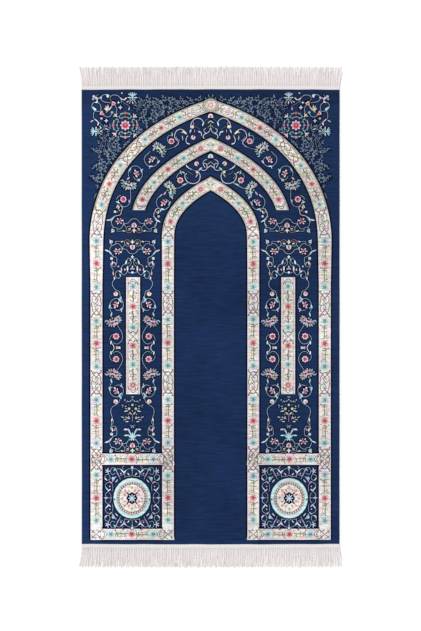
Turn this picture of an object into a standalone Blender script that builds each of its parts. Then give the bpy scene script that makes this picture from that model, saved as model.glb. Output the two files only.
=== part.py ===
# Prayer rug lying flat: one woven cloth, and at each end a narrow heading strip that holds a fringe of yarn locks.
# Metres, +Z up. The origin is under the rug's middle, and +Y points to the end that the woven arch points to.

import math

import bmesh
import bpy

# Woven cloth
clothWidth = 0.680
clothLength = 1.199
clothThickness = 0.0030
clothRim = 0.0010  # rounding of the pile at the cut edge
endBow = 0.0011  # the ends bulge this much at their middle
narrowing = 0.0009  # the -Y end is this much narrower than the +Y end
edgeRipple = 0.00022  # small unevenness of the edges
sideSteps = 40
endSteps = 28

# Heading strips and fringe
seamGap = 0.0003
headingDepth = 0.0095
headingThickness = 0.0024
headingOverhang = 0.0008  # past the cloth's side, each side
locks = 112
lockLength = 0.0505
lockHeight = 0.0019
lockTipHeight = 0.0015
lockWidth = 0.0051
lockTipWidth = 0.0046
lockSegments = 3
lockSway = 0.00032
lengthUnevenness = 0.0016
cornerFlare = 0.0088  # how far the outermost lock's tip leans out
flareReach = 0.022  # the lean fades over this distance from the corner


# Distance from the rug's middle to the cloth's end edge, at x.
def endEdge(x):
    across = 2 * x / clothWidth
    ripple = math.sin(17 * across + 0.6) + 0.7 * math.sin(31 * across + 2.0)
    return clothLength / 2 - endBow * across**2 + edgeRipple * ripple


# Distance from the rug's middle line to the cloth's side edge, at y.
def sideEdge(y):
    along = 2 * y / clothLength
    ripple = math.sin(13 * along + 1.1) + 0.6 * math.sin(29 * along)
    return clothWidth / 2 - narrowing * (1 - along) / 4 + 0.5 * edgeRipple * ripple


# The cloth's outline, counter-clockwise from above, starting at the (-X, -Y) corner.
def clothOutline():
    corner = clothLength / 2 - endBow
    left, right = -sideEdge(-corner), sideEdge(-corner)
    points = []
    for step in range(endSteps):
        x = left + (right - left) * step / endSteps
        points.append((x, -endEdge(x)))
    for step in range(sideSteps):
        y = -corner + 2 * corner * step / sideSteps
        points.append((sideEdge(y), y))
    farRight, farLeft = sideEdge(corner), -sideEdge(corner)
    for step in range(endSteps):
        x = farRight + (farLeft - farRight) * step / endSteps
        points.append((x, endEdge(x)))
    for step in range(sideSteps):
        y = corner - 2 * corner * step / sideSteps
        points.append((-sideEdge(y), y))
    return points


def yarnMaterial(name, colour, roughness):
    material = bpy.data.materials.new(name)
    material.use_nodes = True
    shader = material.node_tree.nodes["Principled BSDF"]
    shader.inputs["Base Color"].default_value = (*colour, 1)
    shader.inputs["Roughness"].default_value = roughness
    shader.inputs["Metallic"].default_value = 0
    return material


def addObject(name, mesh, material):
    mesh.normal_update()
    data = bpy.data.meshes.new(name)
    mesh.to_mesh(data)
    mesh.free()
    data.materials.append(material)
    piece = bpy.data.objects.new(name, data)
    bpy.context.scene.collection.objects.link(piece)
    return piece


def makeCloth(material):
    mesh = bmesh.new()
    corners = [mesh.verts.new((x, y, 0)) for x, y in clothOutline()]
    underside = mesh.faces.new(corners[::-1])
    raised = bmesh.ops.extrude_face_region(mesh, geom=[underside], use_keep_orig=True)["geom"]
    topVerts = [item for item in raised if isinstance(item, bmesh.types.BMVert)]
    bmesh.ops.translate(mesh, verts=topVerts, vec=(0, 0, clothThickness))
    bmesh.ops.recalc_face_normals(mesh, faces=mesh.faces[:])
    rim = [edge for edge in mesh.edges if all(vert.co.z > clothThickness / 2 for vert in edge.verts)]
    bmesh.ops.bevel(mesh, geom=rim, offset=clothRim, segments=2, profile=0.5, affect="EDGES")
    return addObject("rug_cloth", mesh, material)


# The x of each column of the heading strip, in pairs: a pair spans the root of one lock.
def headingColumns():
    halfWidth = clothWidth / 2 + headingOverhang
    pitch = 2 * halfWidth / locks
    columns = []
    for lock in range(locks):
        middle = -halfWidth + (lock + 0.5) * pitch
        columns += [middle - lockWidth / 2, middle + lockWidth / 2]
    return columns


# How far the tip of the lock rooted at x leans sideways, outwards near the corners.
def lean(x):
    fromCorner = clothWidth / 2 - abs(x)
    return math.copysign(cornerFlare * math.exp(-fromCorner / flareReach), x)


# Middle x, distance out of the heading, width and height of a lock at part (0 root, 1 tip).
def lockRing(rootX, end, part):
    seed = 12.9898 * rootX * 1000 + 37.7 * end
    sway = lockSway * math.sin(seed + 2.3 * part) * part
    length = lockLength + lengthUnevenness * (0.6 * math.sin(1.7 * seed) + 0.4 * math.sin(0.13 * seed))
    middle = rootX + lean(rootX) * part**1.6 + sway
    width = lockWidth + (lockTipWidth - lockWidth) * part
    height = lockHeight + (lockTipHeight - lockHeight) * part
    return middle, length * part, width, height


# A heading strip with its locks; end is 1 for the +Y end and -1 for the -Y end.
def makeFringe(name, end, material):
    mesh = bmesh.new()
    rows = []
    for x in headingColumns():
        inner = end * (endEdge(x) + seamGap)
        outer = inner + end * headingDepth
        profile = [
            (inner, 0),
            (inner, headingThickness),
            (outer, headingThickness),
            (outer, lockHeight),
            (outer, 0),
        ]
        rows.append([mesh.verts.new((x, y, z)) for y, z in profile])
    rootFaces = []
    for column in range(len(rows) - 1):
        near, far = rows[column], rows[column + 1]
        for corner in range(5):
            following = (corner + 1) % 5
            face = mesh.faces.new((near[corner], near[following], far[following], far[corner]))
            if corner == 3 and column % 2 == 0:
                rootFaces.append(face)
    mesh.faces.new(rows[0][::-1])
    mesh.faces.new(rows[-1])
    roots = [face.calc_center_median() for face in rootFaces]
    tips = rootFaces
    for segment in range(1, lockSegments + 1):
        part = segment / lockSegments
        extruded = bmesh.ops.extrude_discrete_faces(mesh, faces=tips)["faces"]
        tips = sorted(extruded, key=lambda face: face.calc_center_median().x)
        for face, root in zip(tips, roots):
            middle, out, width, height = lockRing(root.x, end, part)
            centre = face.calc_center_median()
            for vert in face.verts:
                side = math.copysign(1, vert.co.x - centre.x)
                top = vert.co.z > centre.z
                vert.co = (middle + side * width / 2, root.y + end * out, height if top else 0)
    bmesh.ops.recalc_face_normals(mesh, faces=mesh.faces[:])
    return addObject(name, mesh, material)


def clearScene():
    for item in list(bpy.data.objects):
        bpy.data.objects.remove(item, do_unlink=True)


clearScene()
navyYarn = yarnMaterial("navyYarn", (0.013, 0.030, 0.090), 0.92)
creamYarn = yarnMaterial("creamYarn", (0.78, 0.74, 0.71), 0.88)
rug = bpy.data.objects.new("prayer_rug", None)
bpy.context.scene.collection.objects.link(rug)
for piece in (
    makeCloth(navyYarn),
    makeFringe("fringe_arch_end", 1, creamYarn),
    makeFringe("fringe_foot_end", -1, creamYarn),
):
    piece.parent = rug
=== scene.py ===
import math

import bpy
import numpy as np
from mathutils.bvhtree import BVHTree
from mathutils.geometry import delaunay_2d_cdt
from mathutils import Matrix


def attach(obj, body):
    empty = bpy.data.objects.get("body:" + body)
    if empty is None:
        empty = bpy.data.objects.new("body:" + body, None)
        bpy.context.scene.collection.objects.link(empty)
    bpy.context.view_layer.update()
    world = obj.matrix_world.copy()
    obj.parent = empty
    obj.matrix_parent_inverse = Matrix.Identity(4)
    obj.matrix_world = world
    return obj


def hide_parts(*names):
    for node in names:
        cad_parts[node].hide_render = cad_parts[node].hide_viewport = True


# Prayer rug lying flat. Its pattern is charted in millimetres on one half, as (out from the middle line,
# towards the arch end), and woven on both halves. The pieces themselves are in metres.
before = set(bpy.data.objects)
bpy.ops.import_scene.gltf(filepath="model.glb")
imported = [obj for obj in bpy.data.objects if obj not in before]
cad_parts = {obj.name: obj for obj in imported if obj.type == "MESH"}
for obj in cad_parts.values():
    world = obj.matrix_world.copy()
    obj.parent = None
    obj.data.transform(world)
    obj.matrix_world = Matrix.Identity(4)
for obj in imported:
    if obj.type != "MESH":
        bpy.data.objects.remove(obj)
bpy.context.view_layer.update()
scene = bpy.context.scene
mm = 0.001
print("frame loaded:", ", ".join(sorted(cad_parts)))

# The cloth as it is cut, with the small unevenness of its edges
cloth = {
    "width": 0.680,
    "length": 1.199,
    "thickness": 0.0030,
    "rim": 0.0010,
    "endBow": 0.0011,
    "narrowing": 0.0009,
    "ripple": 0.00022,
    "sideSteps": 40,
    "endSteps": 28,
    "gridPitch": 0.013,
    "undulation": 0.0002,
    "waves": ((31, 9, 0, 1), (-7, 13, 1, 1), (23, 47, 0, 0.6)),  # along x and y, start and share
    "stillEdge": 0.02,
}


# Distance from the rug's middle to the cloth's end edge, at x.
def endEdge(x):
    across = 2 * x / cloth["width"]
    ripple = math.sin(17 * across + 0.6) + 0.7 * math.sin(31 * across + 2.0)
    return cloth["length"] / 2 - cloth["endBow"] * across**2 + cloth["ripple"] * ripple


# Distance from the middle line to the cloth's side edge, at y.
def sideEdge(y):
    along = 2 * y / cloth["length"]
    ripple = math.sin(13 * along + 1.1) + 0.6 * math.sin(29 * along)
    return cloth["width"] / 2 - cloth["narrowing"] * (1 - along) / 4 + 0.5 * cloth["ripple"] * ripple


# The cloth's outline, counter-clockwise from above.
def clothOutline():
    corner = cloth["length"] / 2 - cloth["endBow"]
    points = []
    for step in range(cloth["endSteps"]):
        x = (2 * step / cloth["endSteps"] - 1) * sideEdge(-corner)
        points.append((x, -endEdge(x)))
    for step in range(cloth["sideSteps"]):
        y = corner * (2 * step / cloth["sideSteps"] - 1)
        points.append((sideEdge(y), y))
    for step in range(cloth["endSteps"]):
        x = (1 - 2 * step / cloth["endSteps"]) * sideEdge(corner)
        points.append((x, endEdge(x)))
    for step in range(cloth["sideSteps"]):
        y = corner * (1 - 2 * step / cloth["sideSteps"])
        points.append((-sideEdge(y), y))
    return points


# A socket of a node tree. Arithmetic on it adds the Math nodes.
class Wire:
    def __init__(self, graph, socket):
        self.graph = graph
        self.socket = socket

    def math(self, operation, *values):
        return self.graph.make("ShaderNodeMath", {"operation": operation}, dict(enumerate(values)))

    def __add__(self, other):
        return self.math("ADD", self, other)

    def __sub__(self, other):
        return self.math("SUBTRACT", self, other)

    def __rsub__(self, other):
        return self.math("SUBTRACT", other, self)

    def __mul__(self, other):
        return self.math("MULTIPLY", self, other)

    def __truediv__(self, other):
        return self.math("DIVIDE", self, other)

    def __pow__(self, other):
        return self.math("POWER", self, other)

    __radd__ = __add__
    __rmul__ = __mul__

    def call(self, operation):
        return self.math(operation, self)

    def over(self, other):
        return self.math("GREATER_THAN", self, other)


# The nodes of one tree
class Graph:
    def __init__(self, tree):
        self.tree = tree

    def make(self, kind, settings=None, inputs=None, out=0):
        node = self.tree.nodes.new(kind)
        for name, value in (settings or {}).items():
            if name == "stops":
                ramp = node.color_ramp
                ramp.interpolation = "CONSTANT"
                while len(ramp.elements) < len(value):
                    ramp.elements.new(1)
                for stop, (spot, colour) in zip(ramp.elements, value):
                    stop.position = spot
                    stop.color = (*colour, 1)
            else:
                setattr(node, name, value)
        for name, value in (inputs or {}).items():
            if isinstance(value, Wire):
                self.tree.links.new(value.socket, node.inputs[name])
            else:
                node.inputs[name].default_value = value
        return Wire(self, node.outputs[out])

    def place(self):
        return self.make("ShaderNodeTexCoord", None, None, "Object")

    def attribute(self, name, out="Fac"):
        return self.make("ShaderNodeAttribute", {"attribute_name": name}, None, out)


# Yarn colours as the eye sees them, 0 to 255
yarns = {
    "navy": (31, 50, 86),
    "panelNavy": (29, 48, 84),
    "endNavy": (29, 44, 76),
    "night": (9, 14, 33),
    "dusk": (20, 34, 62),
    "verdigris": (118, 150, 150),
    "silt": (170, 169, 150),
    "ground": (234, 233, 231),
    "archGround": (233, 228, 220),
    "ash": (170, 167, 163),
    "stone": (192, 187, 181),
    "rail": (224, 217, 222),
    "cream": (228, 220, 204),
    "sand": (190, 173, 156),
    "copper": (148, 122, 112),
    "bark": (114, 98, 93),
    "umber": (128, 102, 101),
    "russet": (112, 88, 84),
    "ice": (212, 223, 236),
    "silver": (190, 196, 216),
    "haze": (144, 167, 194),
    "pond": (124, 147, 174),
    "steel": (112, 134, 164),
    "lichen": (140, 150, 152),
    "slate": (108, 124, 144),
    "lilac": (190, 186, 216),
    "mauve": (178, 150, 188),
    "aqua": (170, 208, 224),
    "paleAqua": (200, 231, 229),
    "mist": (190, 208, 206),
    "lagoon": (136, 172, 172),
    "deepTeal": (86, 136, 142),
    "teal": (70, 122, 126),
    "sage": (148, 162, 150),
    "moss": (114, 122, 97),
    "olive": (126, 128, 104),
    "fern": (172, 184, 168),
    "paleFern": (194, 202, 186),
    "blush": (234, 212, 222),
    "pink": (226, 156, 174),
    "orchid": (200, 172, 194),
    "shell": (224, 198, 196),
    "petal": (214, 158, 166),
    "rose": (204, 140, 154),
    "brick": (184, 104, 110),
    "rust": (146, 74, 70),
    "red": (172, 58, 84),
    "garnet": (142, 60, 78),
    "wine": (116, 40, 60),
}
lightGain = 1.16  # a white yarn would return this much of the picture's white
fineFill = {"ground": 0.45, "archGround": 0.9}  # how densely the small tendrils fill a ground, from 0 to 1
sheenGain = 0.004  # what the yarns' sheen adds to every colour


# A yarn's own colour under the scene's light, in linear light.
def dyed(yarn):
    shares = [value / 255 for value in yarns[yarn]]
    seen = [s / 12.92 if s < 0.04045 else ((s + 0.055) / 1.055) ** 2.4 for s in shares]
    return tuple(max(share - sheenGain, 0.0006) / lightGain for share in seen)


# What is woven: outlines in paint order, the grounds under the dark outlines of the motifs under the motifs.
# Every outline goes through each of the copies, and on both halves of the rug.
weaving = {"ground": [], "shadow": [], "motif": []}
copies = [lambda point: point]
shadowWidth = 2.1
stemTrim = 0.76  # the charted widths of the stems include their soft edge


def lay(yarn, points, layer="motif"):
    for copy in copies:
        placedPoints = [copy(point) for point in points]
        for side in (-1, 1):
            weaving[layer].append((yarn, [(side * x, y) for x, y in placedPoints]))


# A place for a motif: turned by degrees outwards from upright, and scaled.
def placed(spot, turn=0, size=1, carrier=None):
    cosine, sine = math.cos(math.radians(turn)), math.sin(math.radians(turn))

    def at(point):
        x, y = point[0] * size, point[1] * size
        moved = (spot[0] + cosine * x + sine * y, spot[1] - sine * x + cosine * y)
        return carrier(moved) if carrier else moved

    return at


def blade(at, yarn, width, base, tip, layer="motif"):
    run = (tip[0] - base[0], tip[1] - base[1])
    length = math.hypot(*run)
    along = (run[0] / length, run[1] / length)
    swell = ((0.16, 0.62), (0.45, 1), (0.78, 0.66)) if length > 7 else ((0.3, 0.9), (0.7, 0.8))
    near = [(part, half * width / 2) for part, half in swell]
    steps = [(0, 0)] + near + [(1, 0)] + [(part, -half) for part, half in reversed(near)]
    outline = [(base[0] + run[0] * part - along[1] * half, base[1] + run[1] * part + along[0] * half)
               for part, half in steps]
    lay(yarn, [at(point) for point in outline], layer)


# A blade with a dark outline.
def leaf(at, yarn, width, base, tip):
    run = (tip[0] - base[0], tip[1] - base[1])
    grow = shadowWidth / math.hypot(*run)
    start = (base[0] - run[0] * grow, base[1] - run[1] * grow)
    end = (tip[0] + run[0] * grow * 1.6, tip[1] + run[1] * grow * 1.6)
    blade(at, "night", width + 2.2 * shadowWidth, start, end, "shadow")
    blade(at, yarn, width, base, tip)


def spot(at, yarn, radius, *centres, layer="motif"):
    sides = 7 if radius < 3 else 10 if radius < 9 else 24
    turns = [2 * math.pi * side / sides for side in range(sides)]
    for x, y in centres:
        rim = [(x + radius * math.cos(turn), y + radius * math.sin(turn)) for turn in turns]
        lay(yarn, [at(point) for point in rim], layer)


# A spot with a dark outline.
def dot(at, yarn, radius, *centres):
    spot(at, "night", radius + shadowWidth, *centres, layer="shadow")
    spot(at, yarn, radius, *centres)


def blend(weights, points):
    return tuple(sum(weight * point[axis] for weight, point in zip(weights, points)) for axis in (0, 1))


# A smooth line through the points, in steps of about stepLength.
def smoothLine(points, stepLength=4.5):
    ends = [points[0]] + list(points) + [points[-1]]
    line = []
    for before, start, end, after in zip(ends, ends[1:], ends[2:], ends[3:]):
        steps = max(1, round(math.dist(start, end) / stepLength)) if len(points) > 2 else 1
        for step in range(steps):
            t = step / steps
            weights = (-t + 2 * t**2 - t**3, 2 - 5 * t**2 + 3 * t**3, t + 4 * t**2 - 3 * t**3, t**3 - t**2)
            line.append(blend([weight / 2 for weight in weights], (before, start, end, after)))
    return line + [tuple(points[-1])]


# The points on both sides of each point of a line.
def ribbonSides(line, width):
    sides = []
    for index, (x, y) in enumerate(line):
        back, front = line[max(index - 1, 0)], line[min(index + 1, len(line) - 1)]
        run = (front[0] - back[0], front[1] - back[1])
        length = math.hypot(*run) or 1
        half = (-run[1] * width / length / 2, run[0] * width / length / 2)
        sides.append(((x + half[0], y + half[1]), (x - half[0], y - half[1])))
    return sides


def layRibbon(at, yarn, width, line, layer="motif"):
    sides = ribbonSides(line, width)
    for (a, b), (c, d) in zip(sides, sides[1:]):
        lay(yarn, [at(a), at(b), at(d), at(c)], layer)


def thread(at, yarn, width, *points):
    layRibbon(at, yarn, width, smoothLine(points))


# A thread with a dark outline.
def stem(at, yarn, width, *points):
    line = smoothLine(points)
    layRibbon(at, "night", width + 2 * shadowWidth, line, "shadow")
    layRibbon(at, yarn, width * stemTrim, line)


def patch(at, yarn, *points):
    lay(yarn, [at(point) for point in points])


def petals(at, yarn, width, count, start, end, turn=0):
    for number in range(int(count)):
        angle = math.radians(turn + 360 * number / count)
        step = (math.sin(angle), math.cos(angle))
        blade(at, yarn, width, (start * step[0], start * step[1]), (end * step[0], end * step[1]))


# A ring of cells, each filling its share of the pitch.
def cells(at, yarn, inner, outer, count, share):
    for cell in range(int(count)):
        first = math.radians(360 * cell / count)
        last = first + math.radians(360 * share / count)
        corners = ((inner, first), (outer, first), (outer, last), (inner, last))
        lay(yarn, [at((radius * math.sin(turn), radius * math.cos(turn))) for radius, turn in corners])


shapes = {shape.__name__: shape for shape in (blade, leaf, spot, dot, thread, stem, patch, petals, cells)}
motifs = {}
repeats = {"|": (-1, 1), "@": (-1, -1)}


# Reads a chart. A row is a shape with its yarn, its width or radius and its points, or a motif with its
# place, turn, size and dye. After a slash come the points of another row like it, | repeats the last row
# mirrored, and @ repeats it half turned.
def readChart(text):
    rows = []
    for word in text.split():
        if word in shapes or word in motifs:
            rows.append([word])
        elif word == "/":
            rows.append(rows[-1][:3])
        elif word in repeats:
            flipX, flipY = repeats[word]
            rows.append(rows[-1][:3] + [(flipX * x, flipY * y) for x, y in rows[-1][3:]])
        elif "," in word:
            rows[-1].append(tuple(float(part) for part in word.split(",")))
        else:
            rows[-1].append(word if word[0].isalpha() else float(word))
    return rows


def addMotif(name, text):
    motifs[name] = readChart(text)


# Motifs, upright, in millimetres round their middle
addMotif("bud", """
    dot night 7.4 0,0
    patch blush -6.6,-5 -3.4,-3.4 0,-4.4 3.4,-3.4 6.6,-5 7,0 4.9,4.7 0,6.6 -4.9,4.7 -7,0
    blade wine 3.4 0,-4 0,3.4
""")
addMotif("notchedBud", """
    dot blush 6 0,0
    spot pink 2 -2.4,-2.2 2.4,-2.2
    spot night 1.9 0,1.8
    patch night -1.6,8 -1.3,2 1.3,2 2,7.6
""")
addMotif("curlBud", """
    dot night 6.4 0,0
    spot blush 6 0,0
    thread silt 1.7 -3,-1 -2.4,2.4 0.8,3 2.4,0.6 0.4,-1.4
    spot bark 1.3 0,0.6
    blade night 2 0,2 1,8
""")
addMotif("rosette", """
    spot night 10.6 0,0
    petals pink 7.6 7 1.5 8.7
    spot pink 7.6 0,0
    petals blush 3 7 5 8.8 6
    petals orchid 2.6 7 4 7.8 30
    spot brick 4.8 0,0
    blade red 4.4 -4,1.6 3,3.4
    blade garnet 3.6 -4,-2.4 1.6,0.4
    spot copper 1.5 1.8,0.4
""")
addMotif("tulip", """
    dot night 8 0,0
    leaf blush 3.8 -4.6,-1.8 -11.4,4
    blade blush 4 -3.6,-1.6 0.8,-6.8
    spot blush 2.6 6.2,-3.4
    blade orchid 3.8 1.6,-2 5,7
    blade orchid 3 -5.8,4.2 -0.4,9.2
    blade mauve 2.6 -5.6,4.8 1.8,-1.8
    blade wine 2.4 -6,2.2 -0.4,-2.6
    spot wine 2.1 1.8,-4
    blade wine 3.2 0.2,1.6 1.2,8.4
    spot petal 1.8 2.4,-0.4
""")
addMotif("smallTulip", """
    leaf mauve 4 1,-4.6 6.6,-1 |
    leaf lilac 4.4 0,-4 0,7
    blade mauve 1.8 0,-3 0,3
""")
addMotif("palmette", """
    leaf haze 4.6 12,2 21,8
    leaf haze 3.6 19,8 24,2
    leaf verdigris 4.8 12,0 22,-3
    leaf haze 4.6 9,-2 17,-11
    leaf sage 4.6 5,-3 11,-14
    leaf orchid 4.2 2,-4 3,-17
    leaf stone 5 -1,-3 -3,-13
    leaf silver 5 -4,-3 -10,-11
    leaf haze 4.4 -9,-2 -17,-8
    leaf orchid 4.2 -12,0 -22,-3
    leaf sage 4.6 -13,3 -22,5
    leaf fern 4.6 -11,4 -18,12
    leaf sage 4.4 -8,4 -12,12
    leaf orchid 4.6 -4,3 -6,9
    leaf sage 4.6 2,3 2,12
    leaf haze 4.6 8,3 9,9
    blade rose 6 14,1 4,0
    blade orchid 6 6,0 -4,0
    blade rose 5.6 -3,1 -14,3
    spot wine 2.2 12,-2.4 5,-5 -12,3.4
    spot night 2.2 -5,-2.6 1,4.4
    spot blush 1.7 7,1.4 -3,1.6 -9,0
""")
addMotif("cluster", """
    leaf stone 3.8 3,0 11.4,0.6
    leaf blush 3.6 2,2 6,8.4
    leaf orchid 3.8 -2.4,2 -7,8
    leaf blush 3.8 -3.4,-1 -11.6,-3
    leaf blush 3.6 1.6,-2 6,-8.6
    leaf orchid 3.6 -2,-3 -4,-9
    spot wine 1.7 -4,1.4 4,2.2 2.8,-3 -3.8,-4
    spot rose 1.5 -0.6,3.6
    spot blush 1.5 0,-0.4
""")
addMotif("cup", """
    dot night 6.6 0,0
    patch blush -6.4,6 -3.4,5.2 -2,6.4 2,6.4 3.4,5.2 6.4,6 6.6,0 4,-4.6 0,-6.4 -4,-4.6 -6.6,0
    blade pink 9 0,-6 0,5
    blade olive 5 0,-3.8 0,6.6
    blade moss 2.4 0,-2 0,5
""")
addMotif("diamond", """
    dot night 6.4 0,0
    patch ice 0,6.2 2,2.2 5.8,0 2,-2.2 0,-6.2 -2,-2.2 -5.8,0 -2,2.2
""")
addMotif("fanFlower", """
    dot night 7 0,0
    patch rose 0,-6.6 7,3.3 3.8,5.6 0,4.2 -3.8,5.6 -7,3.3
    blade blush 2.4 0,-6 6,3
    blade garnet 3 -2,1.4 2.6,0.4
""")
addMotif("starLeaf", """
    leaf aqua 4.8 0,-7 0,13
    leaf aqua 3.6 1.4,3 12,9 |
    leaf aqua 3.8 2,-2 13.4,-1.6 / -2,-2 -14,-2
    leaf lagoon 3 1.6,5 6.4,13 |
    leaf lagoon 2.6 2,-4 8,-9 |
    stem stone 2 0,-7 5,-11 8.4,-18 / 0,-7 -6,-11 -10,-17
    leaf ice 2.8 0,-11 -1.4,-20
""")
addMotif("spray", """
    leaf shell 3.2 0,-8 0,6
    leaf lilac 3 1,-3 7.4,3
    leaf blush 3 -1,-3 -7.4,3
""")
addMotif("spandrelFlower", """
    petals pink 8 8 3 13.8
    petals blush 3.6 8 9 13.4
    spot rose 8.4 0,0
    petals red 4.6 8 1 8.6 22
    patch copper -5.4,6 -6,1 -1,2 0.6,7
    blade sand 2.2 3.4,5.4 -1,-1
    spot pink 1.6 0,0
""")
addMotif("branch", """
    thread slate 2 0,-22 3,-9 -2,3 1,16
    thread slate 1.6 1.6,-6 7.6,-1.4 11.4,5.6
    blade steel 3.2 2,-14 8.6,-11.6
    blade lichen 3.2 2,-10 -5,-6
    blade slate 3 -0.6,-1 -7.4,4
    blade lichen 3.2 -1,3 5,8
    blade steel 3 -0.6,8 -6.4,12.4
    blade lichen 3.2 11.4,5 12.4,12
    blade steel 2.8 9.6,1 15.4,0
    blade lichen 3.2 1,14 3,22
    blade slate 2.4 1.6,-19 -3.6,-17
""")
addMotif("forkedBranch", """
    thread slate 2 -8,-20 -3,-9 0,-1 5,7 13,13
    thread slate 1.6 0,-1 -4,7 -5,18
    blade steel 3.2 -5,-13 2.6,-13.6
    blade lichen 3.2 -3,-8 -10,-5 / 2.4,3 10,1.6
    blade steel 3 5,7 4,14.4
    blade lichen 3.4 12,12 19.4,13
    blade slate 3 11,11.4 12.6,19
    blade steel 3 -3,5 -10,6.6
    blade lichen 3.2 -5,15 -9,22
    blade lichen 3 -5,14 1.6,19
""")
# On the pale bands
addMotif("bandFlower", """
    petals shell 6 6 3 13 12
    petals petal 6 6 1 11.6 42
    spot petal 7.4 0,0
    petals brick 3.6 5 0.5 7.6 20
    patch rust -2.6,3.8 -3.4,0 -1.6,-4.4 2.2,-3.6 3.4,0.6 1.2,4
    blade brick 2 -2.4,-2.4 0.6,2
    blade paleFern 2.6 8,8.6 12.6,12
    blade olive 2.4 -8,-8.6 -12.6,-12
    blade paleFern 2.4 8.6,-8 12.4,-12.4
    blade umber 2 -8,9 -12.6,12.4
""")
addMotif("openFlower", """
    petals shell 6 6 3 12.6 30
    petals petal 5.6 7 2 11.4 8
    spot petal 7 0,0
    petals rust 2.6 7 2 7.4 30
    spot brick 3.6 0,0
    spot shell 2.2 0,0
    blade paleFern 2.6 8,-8.6 12.6,-12
    blade olive 2.4 -8,8.6 -12.6,12
""")
addMotif("bandStem", """
    thread cream 8.4 0,17 0,-17
    thread bark 1.8 -8,16.6 -4,14.4 -0.6,16.4
    thread umber 1.8 8,15.6 4.4,13.2 1,14.8 @
    thread bark 1.8 8,-16.6 4,-14.4 0.6,-16.4
    blade cream 6 8,13 8.4,-9
    thread silt 1.9 -2,12 -5.6,7 -5,0 -5.8,-7 -2.6,-12
    thread moss 2.3 1.2,17 0.6,9 1.8,2 0.8,-6 1.8,-13
    thread bark 1.6 -7,10.6 -2,9.4 3,11
    thread umber 1.4 -6,1.6 1,0.4 9,1.2
    thread olive 1.8 -9,-9 -4,-9.6 3,-10.4
    thread umber 1.7 10.6,15.4 6.4,14.6 4.4,11 4,6.4
    spot russet 1.5 10.4,15.4 1.6,-12.4
    blade shell 4 -9.6,9 -9.4,-4
    blade fern 2.8 1.6,-12.4 7.4,-16.4
    blade paleFern 2.8 0.6,-12.6 -5.4,-16
    spot verdigris 1.6 -9.4,-12.6 -1.4,15
""")
addMotif("barStem", """
    blade cream 6 -9,14 -9.4,-8
    thread silt 5 0.4,17 1.6,9 -1.2,1 1,-8 -0.4,-17
    thread moss 2.1 0.4,17 2,9 -1.6,1 1.2,-8 -0.4,-17
    thread umber 1.7 2,12 7,13.6 10.6,9
    thread bark 1.7 -1,-12 -7,-13.6 -10.6,-9
    thread umber 1.7 -9.4,1.6 -2,1 6.6,1.8
    thread bark 1.7 -4,-5 2,-5.6 9,-4.6
    thread brick 1.6 -6,17 -11,14 -12,8
    thread petal 1.8 6,-17 11,-14 12,-8
    spot russet 1.6 8,9 -6,-9 0,14
    spot petal 2.2 -7.4,-2 6.6,-1.4
""")
addMotif("barEnd", """
    thread bark 2 -12.6,-7.4 -10.6,-1.6 -6.4,2.4 0,7.4 6.4,2.4 10.6,-1.6 12.6,-7.4
    thread umber 2.2 -8,-5.4 -5.6,-1.4 0,1 5.6,-1.4 8,-5.4
    spot russet 1.6 -12.4,-7 12.4,-7 -6.6,-4
    blade cream 4 8,0 12,7
""")
addMotif("braidHook", """
    thread bark 2.3 -13.2,-1 -12,-5 -9,-8 -5.4,-9.4 -2.4,-6.6 0,-5
    thread umber 2.3 13.2,-1 12,-5 8.6,-7 5,-8 2.4,-5.4 0,-5
    spot russet 1.9 -12.6,-0.6 12.8,-0.8 -6,-9 3.6,-7.4
""")
addMotif("barCross", """
    thread bark 1.9 -11.6,-11 -5,-5 0,0 5,4.6 11,9
    thread umber 1.9 11.6,-11 5,-5 0,0 -5,4.6 -11,9
    braidHook 0,18
    braidHook 0,-19 180
    blade moss 2.2 -12,-14 -6,-7
    blade shell 4 -9,0 -3.6,0
""")
addMotif("archVine", """
    thread silt 4.2 0.4,17 -1.6,10 1.8,3 -1.8,-4 1.4,-11 0,-17
    thread moss 2.2 0.4,17 -1.6,10 1.8,3 -1.8,-4 1.4,-11 0,-17
    blade moss 3 0.6,6 9.4,11.6
    blade olive 3 -0.6,7 -9.4,9 / -0.6,-3 8.6,-8
    blade moss 3 -0.8,-5 -9.2,-10.6
    thread russet 1.7 2,1 8,3 11.4,-0.6 8.6,-3.6 6.4,-1.6 @
    thread umber 1.6 4,17 9,16 11.6,11 @
    blade fern 2.8 -10.6,17 -6.6,12.4
    blade copper 2.2 10.6,-17 6.6,-12.4
    blade stone 3.4 3,9 7,4 @
    spot shell 2 9.4,7 -9.4,-7
""")
addMotif("apexRings", """
    spot bark 18.6 0,0
    spot silt 17.8 0,0
    petals archGround 1.8 20 13.4 16.8
    spot copper 12.8 0,0
    spot archGround 12 0,0
    petals shell 4 8 6 10.6
    petals rose 3.2 5 2 6.6 18
    spot blush 3.6 0,0
""")
addMotif("apexLeaves", """
    blade fern 5 0,-5 12,2 |
    blade moss 2.2 0,-5 10,0.6 |
    blade mist 4.2 -6.4,2 -1,8.4 |
    blade silt 2 -4,1 0,6 |
    spot ice 2.6 0,-5.6
    spot sage 1.5 3,-9 -3,-9
""")
addMotif("bandCurls", """
    thread umber 2.2 -11,10 -8,3 -1,2 1.4,7 -3,9
    thread bark 2.2 11,-8 7.6,-1.6 0.6,-2 -1.4,-7 3,-8.6
    blade fern 2.8 3,4 10.4,9
    blade olive 2.4 -3.4,-3.4 -10.6,-8
    spot blush 2.2 8,3.4 -8,-2
    spot sage 1.6 0,0
""")
addMotif("bandBlossom", """
    petals blush 5.4 6 1 8.4
    petals rose 3 4 0.5 6.4 30
    spot ice 2.2 0,0
    blade bark 2 -6,-6 -9,4 @
""")
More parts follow.
